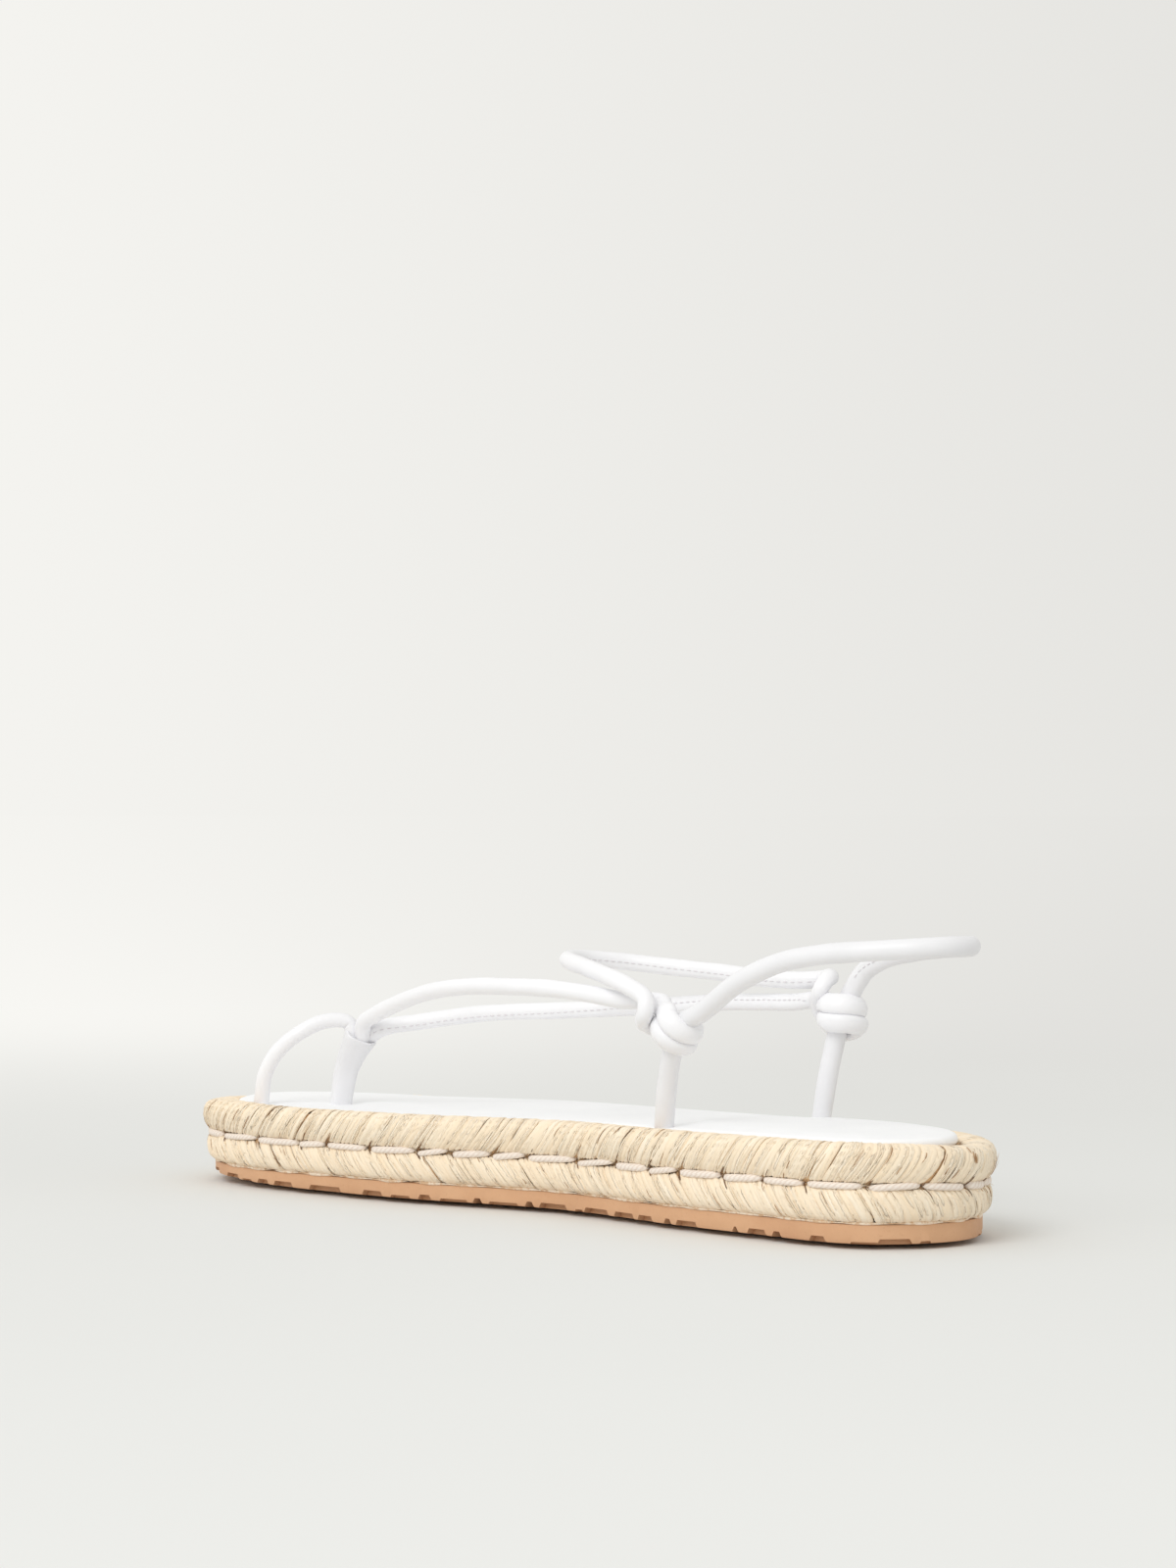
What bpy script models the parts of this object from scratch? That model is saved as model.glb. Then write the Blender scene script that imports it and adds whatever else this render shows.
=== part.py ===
"""Espadrille sandal for the right foot.

A lugged gum rubber outsole, a braided jute sole in two courses, a leather footbed let into its rim, and an
upper of rolled leather cords: a toe post with a loop for the big toe, two instep cords, and an ankle cord
knotted to a leg on each side.

Places are given on the last in millimetres: x across the foot with the lateral side positive, y forward from
the back of the heel, z up from the tread's edge. The part itself is in metres with its origin on the ground
under the middle of the sole.
"""

import math

import bmesh
import bpy
import numpy as np
from mathutils import Vector

MM = 0.001
GAP = 0.3  # clearance between neighbouring pieces

# Outer edge of the jute sole: x, y
OUTLINE = (
    (0.0, 0.0),
    (-23.4, 10.0),
    (-28.4, 38.0),
    (-28.3, 75.0),
    (-26.4, 112.0),
    (-36.2, 150.0),
    (-40.6, 182.0),
    (-41.3, 214.0),
    (-32.8, 238.0),
    (-10.0, 250.0),
    (14.0, 240.0),
    (32.0, 214.0),
    (43.0, 180.0),
    (41.0, 140.0),
    (36.0, 100.0),
    (33.5, 62.0),
    (32.6, 36.0),
    (17.2, 9.0),
)
OUTLINE_POINTS = 84
SOLE_LENGTH = 250.0

# Heights along the foot: y, height
RUBBER_THICKNESS = ((0.0, 4.4), (185.0, 3.9), (250.0, 2.6))
RIM_HEIGHT = ((0.0, 22.1), (222.0, 19.35), (250.0, 16.5))
RIM_DROP = ((0.0, 1.8), (36.0, 1.3), (60.0, 1.1), (150.0, 1.6), (212.0, 2.1), (250.0, 0.9))
DROP_BETWEEN = (-24.0, 8.0)  # x at which the rim begins to drop, and has dropped in full
FOOTBED_OVER_RIM = ((0.0, 0.4), (60.0, 0.3), (150.0, -0.6), (212.0, -1.1), (222.0, -1.0), (250.0, 1.7))
SPRING_START = 185.0
TOE_SPRING = 1.9

# Side of the rubber: inset from the outline, height above its lower face
RUBBER_INSET = 3.0
RUBBER_EDGE = 0.5
CROWN = 1.2  # how far the middle of the tread stands below its edge
# Underside of the rubber: inset from its edge, share of the crown
UNDERSIDE = ((10.0, 1.0), (5.0, 0.4))

# Notches of the tread on both edges: way along the edge from the back of the heel, length, depth
TREAD = (
    (11.3, 3.0, 0.6),
    (19.2, 7.3, 1.2),
    (27.0, 6.4, 0.5),
    (39.8, 4.1, 1.3),
    (52.5, 2.5, 1.3),
    (58.8, 5.6, 1.3),
    (65.6, 1.4, 1.3),
    (81.5, 6.7, 1.3),
    (88.0, 2.1, 1.3),
    (96.3, 5.2, 1.3),
    (104.5, 7.3, 1.3),
    (115.0, 8.7, 1.3),
    (121.2, 3.1, 0.6),
    (129.6, 8.5, 1.3),
    (136.7, 2.2, 1.3),
    (144.1, 8.6, 0.7),
    (151.4, 2.2, 1.3),
    (158.2, 8.1, 0.7),
    (166.7, 3.5, 1.3),
    (174.4, 6.3, 0.7),
    (183.7, 6.3, 1.3),
    (200.4, 11.0, 1.3),
    (216.0, 6.9, 1.3),
    (224.3, 4.3, 1.2),
    (231.6, 4.8, 0.6),
    (239.3, 6.5, 1.2),
    (253.0, 6.0, 1.2),
    (267.0, 5.0, 1.2),
    (281.0, 6.0, 1.2),
)
NOTCH_REACH = 5.0
NOTCH_FLARE = 0.7  # how much longer a notch is at the ground
GROOVE_LENGTH = 3.0  # a notch shorter than this is the end of a groove right across

# Side of the jute: inset from the outline, share of the jute's height
JUTE_SIDE = (
    (3.4, 0.0),
    (1.7, 0.06),
    (1.0, 0.22),
    (1.3, 0.37),
    (2.7, 0.465),
    (1.0, 0.56),
    (0.1, 0.7),
    (0.1, 0.86),
    (0.9, 0.955),
    (2.6, 1.0),
    (5.6, 0.995),
    (8.2, 0.96),
)
RECESS_INSET = 8.2
FOOTBED_THICKNESS = 2.6

# Edge of the footbed: inset from its own outline, depth below its upper face
FOOTBED_EDGE = ((1.0, 2.6), (0.0, 2.0), (0.0, 1.3), (0.5, 0.45), (1.6, 0.05), (4.0, 0.0))

# Cords
FRONT_CORD = 2.05  # radius of the ankle and instep cord
REAR_CORD = 2.3  # radius of the heel cord and its legs
TOE_CORD = 1.9  # radius of the toe loop
CORD_STEP = 6.0
CORD_TURN = math.radians(24.0)

# Toe post: x, y, z, radius
TOE_POST = (
    (-11.0, 208.7, 16.9, 2.6),
    (-11.0, 208.0, 21.5, 2.7),
    (-11.0, 206.5, 27.5, 2.9),
    (-11.0, 204.2, 32.4, 3.4),
    (-11.0, 201.9, 36.0, 4.1),
)
POST_SOCKET = 1.8  # how far the cords reach into the toe post
ENTRY_REACH = 16.0  # stretch of each cord that the toe post keeps clear of

# Knots: middle, backward lean of the core
MEDIAL_KNOT = ((-20.0, 72.8, 44.2), math.radians(42.0))
LATERAL_KNOT = ((26.0, 66.1, 46.3), math.radians(3.0))
TURN_RADIUS = 4.1
TURN_PITCH = 4.6  # from one turn of the cord to the next
TURN_STEP = 260.0  # degrees on the lateral side over which the cord steps down

# Bight of the front cord over each knot, in the knot's own axes: back, up the core, towards the medial side
MEDIAL_BIGHT = (
    (-3.4, -5.7, -3.7),
    (-6.6, -5.6, -0.6),
    (-7.6, -3.8, 3.6),
    (-7.0, -0.6, 6.0),
    (-6.9, 3.7, 5.3),
)
LATERAL_BIGHT = (
    (-4.4, -5.0, -3.2),
    (-7.0, -2.2, -1.6),
    (-6.6, 1.8, 1.4),
    (-3.6, 5.4, 3.8),
    (-3.4, 8.3, 1.8),
    (-6.4, 8.2, -1.8),
    (-9.6, 6.9, -2.6),
    (-13.5, 6.3, -0.6),
)
# Instep cord going under the bight, same axes
MEDIAL_TUCK = ((-8.8, -0.6, -1.0), (-5.7, 0.4, 0.9))
LATERAL_TUCK = ((-9.6, 2.0, 0.9), (-5.6, 2.2, 1.4))

# Routes: x, y, z
MEDIAL_INSTEP = (
    (-12.6, 196.8, 38.8),
    (-13.9, 191.0, 41.5),
    (-16.5, 179.2, 45.3),
    (-18.6, 168.1, 47.9),
    (-20.4, 157.5, 49.7),
    (-22.6, 142.6, 51.1),
    (-24.2, 128.7, 51.6),
    (-25.2, 111.9, 51.8),
    (-24.0, 99.3, 51.0),
    (-21.6, 91.4, 49.9),
)
LATERAL_INSTEP = (
    (-7.4, 196.0, 38.2),
    (-2.2, 188.4, 39.8),
    (5.8, 172.6, 42.3),
    (14.4, 150.4, 43.7),
    (19.6, 134.4, 44.8),
    (23.6, 117.5, 46.2),
    (25.4, 105.5, 47.1),
    (26.3, 92.8, 47.6),
    (25.7, 81.0, 48.1),
)
TOE_LOOP = (
    (-29.3, 218.0, 20.5),
    (-29.1, 217.0, 26.2),
    (-27.3, 214.4, 31.9),
    (-23.0, 210.2, 37.0),
    (-17.5, 206.8, 39.8),
    (-13.4, 204.2, 39.2),
)
FRONT_ANKLE = (
    (-24.8, 84.7, 53.4),
    (-23.4, 93.4, 55.3),
    (-20.2, 103.7, 56.7),
    (-15.5, 113.9, 57.4),
    (-9.5, 123.0, 57.8),
    (0.0, 129.0, 57.6),
    (10.2, 126.3, 56.7),
    (17.4, 117.4, 55.5),
    (22.2, 103.0, 54.4),
    (24.0, 90.4, 53.4),
)
REAR_ANKLE = (
    (-21.2, 63.0, 48.4),
    (-21.5, 51.4, 55.2),
    (-19.7, 40.5, 59.8),
    (-17.2, 30.6, 61.9),
    (-10.5, 15.2, 63.3),
    (-2.3, 7.4, 63.9),
    (6.3, 7.4, 63.9),
    (14.5, 15.4, 63.4),
    (21.2, 30.0, 62.4),
    (24.6, 43.0, 61.0),
    (26.3, 53.6, 58.8),
    (26.8, 60.0, 55.6),
)
MEDIAL_LEG = ((-17.0, 80.9, 20.3), (-18.0, 78.8, 30.0), (-19.4, 75.4, 38.5))
LATERAL_LEG = ((22.7, 69.7, 21.9), (24.0, 69.0, 31.0), (25.6, 67.6, 41.0))
LEG_LIFT = 0.4  # of a cord's end above the lower face of the footbed

LEATHER = (0.88, 0.87, 0.86, 1.0)
FOOTBED = (0.80, 0.78, 0.75, 1.0)
JUTE = (0.82, 0.70, 0.52, 1.0)
RUBBER = (0.58, 0.33, 0.18, 1.0)


def closed_curve(points, count):
    """Evenly spaced points and normals on the smooth closed curve through the given points, and its length."""
    knots = np.array(points)
    ahead = np.roll(knots, -1, axis=0) - knots
    step = np.linalg.norm(ahead, axis=1)
    total = len(knots)
    rows = np.zeros((total, total))
    right = np.zeros((total, 2))
    for i in range(total):
        before, after = step[i - 1], step[i]
        rows[i, i - 1] = 1.0 / before
        rows[i, i] = 2.0 / before + 2.0 / after
        rows[i, (i + 1) % total] = 1.0 / after
        right[i] = 3.0 * (ahead[i - 1] / before**2 + ahead[i] / after**2)
    slope = np.linalg.solve(rows, right)
    dense = []
    for i in range(total):
        j = (i + 1) % total
        for t in np.linspace(0.0, 1.0, 60, endpoint=False):
            rise = t * t * (3.0 - 2.0 * t)
            out = t * (1.0 - t) ** 2 * step[i]
            back = t * t * (t - 1.0) * step[i]
            dense.append(knots[i] * (1.0 - rise) + knots[j] * rise + slope[i] * out + slope[j] * back)
    dense = np.array(dense + dense[:1])
    along = np.r_[0.0, np.cumsum(np.linalg.norm(np.diff(dense, axis=0), axis=1))]
    wanted = np.linspace(0.0, along[-1], count, endpoint=False)
    ring = np.c_[np.interp(wanted, along, dense[:, 0]), np.interp(wanted, along, dense[:, 1])]
    tangent = np.roll(ring, -1, axis=0) - np.roll(ring, 1, axis=0)
    tangent /= np.linalg.norm(tangent, axis=1)[:, None]
    return ring, np.c_[-tangent[:, 1], tangent[:, 0]], along[-1]


EDGE, EDGE_NORMAL, EDGE_LENGTH = closed_curve(OUTLINE, OUTLINE_POINTS)
if np.mean(np.sum(EDGE_NORMAL * (EDGE - EDGE.mean(axis=0)), axis=1)) < 0.0:
    EDGE_NORMAL = -EDGE_NORMAL
ORIGIN = (EDGE.min(axis=0) + EDGE.max(axis=0)) / 2.0


def place(x, y, z):
    """A point of the last in the part's own frame."""
    return Vector(((x - ORIGIN[0]) * MM, (y - ORIGIN[1]) * MM, (z + CROWN) * MM))


def table(rows, y):
    columns = np.array(rows)
    return float(np.interp(y, columns[:, 0], columns[:, 1]))


def spring(y):
    return TOE_SPRING * (max(y - SPRING_START, 0.0) / (SOLE_LENGTH - SPRING_START)) ** 2


def rubber_top(y):
    return spring(y) + table(RUBBER_THICKNESS, y)


def jute_bottom(y):
    return rubber_top(y) + GAP


def medial_rim(y):
    return spring(y) + table(RIM_HEIGHT, y)


def jute_top(x, y):
    """Height of the rope's rim, lower towards the lateral side."""
    share = (x - DROP_BETWEEN[0]) / (DROP_BETWEEN[1] - DROP_BETWEEN[0])
    share = min(max(share, 0.0), 1.0)
    return medial_rim(y) - table(RIM_DROP, y) * share * share * (3.0 - 2.0 * share)


def footbed_top(y):
    return medial_rim(y) + table(FOOTBED_OVER_RIM, y)


def footbed_bottom(y):
    return footbed_top(y) - FOOTBED_THICKNESS


def recess_floor(y):
    return footbed_bottom(y) - GAP


def ring(inset, height):
    """The outline drawn in by inset, each point at the height that its x and y give."""
    plan = EDGE - EDGE_NORMAL * inset
    return [place(x, y, height(x, y)) for x, y in plan]


def paint(obj, colour):
    material = bpy.data.materials.new(obj.name + "_finish")
    material.use_nodes = True
    material.node_tree.nodes["Principled BSDF"].inputs["Base Color"].default_value = colour
    obj.data.materials.clear()
    obj.data.materials.append(material)


def loft(name, rings, collection):
    """A solid skinned over the rings, closed at both ends by strips across the foot."""
    mesh = bpy.data.meshes.new(name)
    shape = bmesh.new()
    count = len(rings[0])
    levels = [[shape.verts.new(point) for point in level] for level in rings]
    for lower, upper in zip(levels, levels[1:]):
        for i in range(count):
            j = (i + 1) % count
            shape.faces.new((lower[i], lower[j], upper[j], upper[i]))
    for level in (levels[0], levels[-1]):
        half = count // 2
        for i in range(half):
            strip = [level[i], level[i + 1], level[-i - 1], level[-i % count]]
            shape.faces.new(list(dict.fromkeys(strip)))
    bmesh.ops.recalc_face_normals(shape, faces=shape.faces)
    shape.to_mesh(mesh)
    shape.free()
    obj = bpy.data.objects.new(name, mesh)
    collection.objects.link(obj)
    return obj


def cord_points(route):
    """Points along the smooth curve through the route, closer together where it turns."""
    stops = np.array(route, dtype=float)
    stops = np.vstack((2.0 * stops[0] - stops[1], stops, 2.0 * stops[-1] - stops[-2]))
    dense = []
    for p0, p1, p2, p3 in zip(stops, stops[1:], stops[2:], stops[3:]):
        a = np.linalg.norm(p1 - p0) ** 0.5
        b = np.linalg.norm(p2 - p1) ** 0.5
        c = np.linalg.norm(p3 - p2) ** 0.5
        out = (p1 - p0) / a - (p2 - p0) / (a + b) + (p2 - p1) / b
        back = (p2 - p1) / b - (p3 - p1) / (b + c) + (p3 - p2) / c
        for t in np.linspace(0.0, 1.0, 24, endpoint=False):
            rise = t * t * (3.0 - 2.0 * t)
            bend = out * t * (1.0 - t) ** 2 + back * t * t * (t - 1.0)
            dense.append(p1 * (1.0 - rise) + p2 * rise + bend * b)
    dense = np.array(dense + [stops[-2]])
    leg = np.diff(dense, axis=0)
    size = np.linalg.norm(leg, axis=1)
    way = leg / size[:, None]
    turn = np.arccos(np.clip(np.sum(way[1:] * way[:-1], axis=1), -1.0, 1.0))
    pace = size / CORD_STEP + np.r_[0.0, turn] / CORD_TURN
    along = np.r_[0.0, np.cumsum(pace)]
    wanted = np.linspace(0.0, along[-1], int(math.ceil(along[-1])) + 1)
    return np.column_stack([np.interp(wanted, along, dense[:, axis]) for axis in range(3)])


def tube(name, points, radius, collection, taper=None):
    """A round solid swept along the points, as a mesh."""
    curve = bpy.data.curves.new(name + "_route", "CURVE")
    curve.dimensions = "3D"
    curve.bevel_depth = radius * MM
    curve.bevel_resolution = 2
    curve.use_fill_caps = True
    path = curve.splines.new("POLY")
    path.points.add(len(points) - 1)
    for i, (x, y, z) in enumerate(points):
        path.points[i].co = (*place(x, y, z), 1.0)
        path.points[i].radius = taper[i] if taper is not None else 1.0
    carrier = bpy.data.objects.new(name + "_route", curve)
    collection.objects.link(carrier)
    bpy.context.view_layer.update()
    seen = carrier.evaluated_get(bpy.context.evaluated_depsgraph_get())
    mesh = bpy.data.meshes.new_from_object(seen)
    shape = bmesh.new()
    shape.from_mesh(mesh)
    bmesh.ops.remove_doubles(shape, verts=shape.verts, dist=0.000001)
    bmesh.ops.recalc_face_normals(shape, faces=shape.faces)
    shape.to_mesh(mesh)
    shape.free()
    mesh.name = name
    bpy.data.objects.remove(carrier)
    obj = bpy.data.objects.new(name, mesh)
    collection.objects.link(obj)
    return obj


def cutter(obj):
    obj.hide_render = True
    obj.display_type = "WIRE"
    return obj


def combine(target, tool, operation, tool_overlaps=False):
    """A Boolean of the two meshes, baked into the target."""
    change = target.modifiers.new(operation.lower(), "BOOLEAN")
    change.operation = operation
    change.object = tool
    change.use_self = tool_overlaps or operation == "UNION"
    bpy.context.view_layer.update()
    seen = target.evaluated_get(bpy.context.evaluated_depsgraph_get())
    mesh = bpy.data.meshes.new_from_object(seen)
    target.modifiers.clear()
    target.data = mesh
    mesh.name = target.name


def knot_axes(knot):
    """Unit vectors of a knot: back along a turn, up its core, towards the medial side."""
    lean = knot[1]
    back = np.array((0.0, -math.cos(lean), -math.sin(lean)))
    core = np.array((0.0, -math.sin(lean), math.cos(lean)))
    out = np.array((-1.0, 0.0, 0.0))
    return back, core, out


def in_knot(knot, a, s, o):
    back, core, out = knot_axes(knot)
    return tuple(np.array(knot[0]) + back * a + core * s + out * o)


def turns(knot):
    """One and a half turns of the cord down round the core, level on the medial side."""
    points = []
    for angle in range(-40, 541, 20):
        turn = math.radians(angle)
        down = 0.0
        for middle in (-180.0, 180.0, 540.0):
            share = min(max((angle - middle) / TURN_STEP + 0.5, 0.0), 1.0)
            down += share * share * (3.0 - 2.0 * share)
        along = TURN_PITCH * (1.5 - down)
        points.append(in_knot(knot, TURN_RADIUS * math.sin(turn), along, TURN_RADIUS * math.cos(turn)))
    return tuple(points)


def post_entry(depth, x_shift, y_shift):
    """A point inside the toe post, depth below its top."""
    top, below = np.array(TOE_POST[-1][:3]), np.array(TOE_POST[-2][:3])
    down = (below - top) / np.linalg.norm(below - top)
    return tuple(top + down * depth + np.array((x_shift, y_shift, 0.0)))


def entry(points):
    """The first stretch of a cord from its end in the toe post, begun a clearance early."""
    start = points[0] + (points[0] - points[1]) / np.linalg.norm(points[0] - points[1]) * GAP
    along = np.cumsum(np.linalg.norm(np.diff(points, axis=0), axis=1))
    return np.vstack((start, points[1:][along < ENTRY_REACH]))


def sunk(stop, ahead, below=0.0):
    """The point where a cord that stands at stop ends inside the footbed, or further below it."""
    lean = (np.array(stop) - np.array(ahead)) / abs(stop[2] - ahead[2])
    depth = stop[2] - footbed_bottom(stop[1]) - LEG_LIFT + below
    return tuple(np.array(stop) + lean * depth)


def edge_at(way):
    """Point and outward normal of the outline, way along it from the back of the heel."""
    stops = np.arange(OUTLINE_POINTS + 1) * EDGE_LENGTH / OUTLINE_POINTS
    point, normal = (
        np.array([np.interp(way, stops, np.r_[rows[:, axis], rows[0, axis]]) for axis in range(2)])
        for rows in (EDGE, EDGE_NORMAL)
    )
    return point, normal / np.linalg.norm(normal)


def tread_block(shape, way, length, depth, reach):
    """A block that clears one notch of the tread from the outline inwards, following the toe spring."""
    point, normal = edge_at(way)
    along = np.array((-normal[1], normal[0]))
    corners = []
    for out in (6.0, -reach):
        for end in (-0.5, 0.5):
            for z, flare in ((-4.0, NOTCH_FLARE), (depth, 0.0)):
                x, y = point + normal * out + along * end * (length + flare)
                corners.append(shape.verts.new(place(x, y, z + spring(point[1]))))
    bmesh.ops.convex_hull(shape, input=corners)


def tread_blocks(name, collection):
    """Every notch and groove of the tread as one cutter."""
    shape = bmesh.new()
    for way, length, depth in TREAD:
        if length < GROOVE_LENGTH:
            tread_block(shape, way, length, depth, 100.0)
            continue
        for side in (way, EDGE_LENGTH - way):
            tread_block(shape, side, length, depth, NOTCH_REACH)
    bmesh.ops.recalc_face_normals(shape, faces=shape.faces)
    mesh = bpy.data.meshes.new(name)
    shape.to_mesh(mesh)
    shape.free()
    obj = bpy.data.objects.new(name, mesh)
    collection.objects.link(obj)
    return obj


for old in list(bpy.data.objects):
    bpy.data.objects.remove(old)

sandal = bpy.data.collections.new("espadrille_sandal")
cutters = bpy.data.collections.new("cutters")
bpy.context.scene.collection.children.link(sandal)
bpy.context.scene.collection.children.link(cutters)
cutters.hide_render = True

# Outsole
outsole_rings = []
for inset, share in UNDERSIDE:
    outsole_rings.append(ring(RUBBER_INSET + inset, lambda x, y, k=share: spring(y) - CROWN * k))
outsole_rings += [
    ring(RUBBER_INSET + RUBBER_EDGE, lambda x, y: spring(y)),
    ring(RUBBER_INSET, lambda x, y: spring(y) + RUBBER_EDGE),
    ring(RUBBER_INSET, lambda x, y: rubber_top(y)),
]
outsole = loft("outsole", outsole_rings, sandal)
combine(outsole, cutter(tread_blocks("tread_cutter", cutters)), "DIFFERENCE", tool_overlaps=True)
paint(outsole, RUBBER)

# Jute sole
jute_rings = []
for inset, share in JUTE_SIDE:
    jute_rings.append(ring(inset, lambda x, y, k=share: jute_bottom(y) * (1.0 - k) + jute_top(x, y) * k))
jute_rings.append(ring(RECESS_INSET, lambda x, y: recess_floor(y)))
jute_sole = loft("jute_sole", jute_rings, sandal)
paint(jute_sole, JUTE)

# Cord routes
medial_instep = (post_entry(POST_SOCKET, -0.8, -0.5), *MEDIAL_INSTEP)
medial_instep += tuple(in_knot(MEDIAL_KNOT, *stop) for stop in MEDIAL_TUCK)
lateral_instep = (post_entry(POST_SOCKET, 0.9, -0.5), *LATERAL_INSTEP)
lateral_instep += tuple(in_knot(LATERAL_KNOT, *stop) for stop in LATERAL_TUCK)
medial_bight = tuple(in_knot(MEDIAL_KNOT, *stop) for stop in MEDIAL_BIGHT)
lateral_bight = tuple(in_knot(LATERAL_KNOT, *stop) for stop in LATERAL_BIGHT)
front_route = medial_instep + turns(MEDIAL_KNOT) + medial_bight + FRONT_ANKLE
front_route += lateral_bight[::-1] + turns(LATERAL_KNOT)[::-1] + lateral_instep[::-1]
rear_route = (sunk(*MEDIAL_LEG[:2]), *MEDIAL_LEG, MEDIAL_KNOT[0], *REAR_ANKLE)
rear_route += (LATERAL_KNOT[0], *LATERAL_LEG[::-1], sunk(*LATERAL_LEG[:2]))
loop_route = (sunk(*TOE_LOOP[:2]), *TOE_LOOP, post_entry(POST_SOCKET, -0.2, 0.9))

front_points = cord_points(front_route)
rear_points = cord_points(rear_route)
loop_points = cord_points(loop_route)

# Upper: the cords joined where they cross
strap_upper = tube("strap_upper", front_points, FRONT_CORD, sandal)
combine(strap_upper, cutter(tube("rear_cord", rear_points, REAR_CORD, cutters)), "UNION")
combine(strap_upper, cutter(tube("toe_loop", loop_points, TOE_CORD, cutters)), "UNION")
paint(strap_upper, LEATHER)

# Toe post, with a socket for the cords in its top
post_points = [stop[:3] for stop in TOE_POST]
post_radii = [stop[3] for stop in TOE_POST]
toe_post = tube("toe_post", post_points, 1.0, sandal, post_radii)
entries = (
    ("medial_entry", front_points, FRONT_CORD),
    ("lateral_entry", front_points[::-1], FRONT_CORD),
    ("loop_entry", loop_points[::-1], TOE_CORD),
)
for name, points, radius in entries:
    way = entry(points)
    combine(toe_post, cutter(tube(name, way, radius + GAP, cutters)), "DIFFERENCE")
paint(toe_post, LEATHER)

# Footbed, slotted for the legs, the toe loop and the toe post
footbed_rings = []
for inset, depth in FOOTBED_EDGE:
    footbed_rings.append(ring(RECESS_INSET + GAP + inset, lambda x, y, d=depth: footbed_top(y) - d))
insole = loft("insole", footbed_rings, sandal)
feet = (
    ("medial_slot", MEDIAL_LEG, REAR_CORD),
    ("lateral_slot", LATERAL_LEG, REAR_CORD),
    ("loop_slot", TOE_LOOP, TOE_CORD),
    ("post_slot", post_points[:2], post_radii[1]),
)
for name, route, radius in feet:
    way = (sunk(*route[:2], below=4.0), *route[:2])
    combine(insole, cutter(tube(name, cord_points(way), radius + GAP, cutters)), "DIFFERENCE")
paint(insole, FOOTBED)
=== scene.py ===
"""Looks of the espadrille sandal for the right foot.

A jute rope sole in two courses sewn with thread, a gum rubber tread sole, a white leather footbed, and an
upper of rolled white leather cords that meet in a toe post and are knotted on both sides of the ankle.

Places are given on the last in millimetres: x across the foot with the lateral side positive, y forward from
the back of the heel, z up from the tread's edge.
"""

import math
import random
from collections import namedtuple

import bmesh
import bpy
import numpy as np
from mathutils import Matrix, Vector


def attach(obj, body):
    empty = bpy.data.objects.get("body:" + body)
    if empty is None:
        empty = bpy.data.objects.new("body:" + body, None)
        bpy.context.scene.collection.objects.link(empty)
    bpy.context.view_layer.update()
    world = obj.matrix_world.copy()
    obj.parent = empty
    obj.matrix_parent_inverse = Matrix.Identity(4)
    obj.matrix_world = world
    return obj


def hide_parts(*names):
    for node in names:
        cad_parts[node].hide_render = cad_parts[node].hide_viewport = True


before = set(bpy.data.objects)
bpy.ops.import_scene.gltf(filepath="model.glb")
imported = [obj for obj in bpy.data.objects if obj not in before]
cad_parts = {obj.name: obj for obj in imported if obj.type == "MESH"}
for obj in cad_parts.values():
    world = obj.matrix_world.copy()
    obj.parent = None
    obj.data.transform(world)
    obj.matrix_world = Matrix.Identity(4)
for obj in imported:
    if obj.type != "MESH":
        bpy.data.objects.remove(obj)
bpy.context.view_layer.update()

MM = 0.001
TURN = 2.0 * math.pi
PHASE = (0.0, 6.28)  # range of random phases
GAP = 0.3  # between pieces that touch
WELD = 0.000004  # metres between points that become one
OUTLINE_STEPS = 60  # points from one stop of the outline to the next
ROUTE_STEPS = 24  # points from one stop of a route to the next

# Outer edge of the rope sole: x, y
OUTLINE = (
    (0.0, 0.0), (-23.4, 10.0), (-28.4, 38.0), (-28.3, 75.0), (-26.4, 112.0), (-36.2, 150.0), (-40.6, 182.0),
    (-41.3, 214.0), (-32.8, 238.0), (-10.0, 250.0), (14.0, 240.0), (32.0, 214.0), (43.0, 180.0),
    (41.0, 140.0), (36.0, 100.0), (33.5, 62.0), (32.6, 36.0), (17.2, 9.0),
)
ORIGIN = np.array((0.928, 124.981, -1.2))  # of the part, on the last
SOLE_LENGTH = 250.0

# Heights along the foot: y, height
RUBBER_THICKNESS = ((0.0, 4.4), (185.0, 3.9), (250.0, 2.6))
RIM_HEIGHT = ((0.0, 22.1), (222.0, 19.35), (250.0, 16.5))
RIM_DROP = ((0.0, 1.8), (36.0, 1.3), (60.0, 1.1), (150.0, 1.85), (212.0, 2.2), (250.0, 0.9))
FOOTBED_OVER_RIM = ((0.0, 0.4), (60.0, 0.3), (150.0, -0.6), (212.0, -1.1), (222.0, -1.0), (250.0, 1.7))
DROP_BETWEEN = (-24.0, 8.0)  # x between which the rim drops towards the lateral side
SPRING_START = 185.0
TOE_SPRING = 1.9

# Rubber
RUBBER_INSET = 3.0
RUBBER_COLUMNS = 300
RUBBER_SHARP = math.radians(32.0)  # edges of the tread that turn more stay crisp
CROWN = 1.2  # how far the middle of the tread stands below its edge
# Section of the plate: inset, share of its thickness, lift
RUBBER_SECTION = (
    (10.0, 0.0, -CROWN), (5.0, 0.0, -0.4 * CROWN), (0.6, 0.0, 0.0), (0.15, 0.0, 0.15), (0.0, 0.0, 0.45),
    (0.0, 1.0, -0.5), (0.15, 1.0, -0.15), (0.6, 1.0, 0.0), (9.0, 1.0, 0.0),
)
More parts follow.
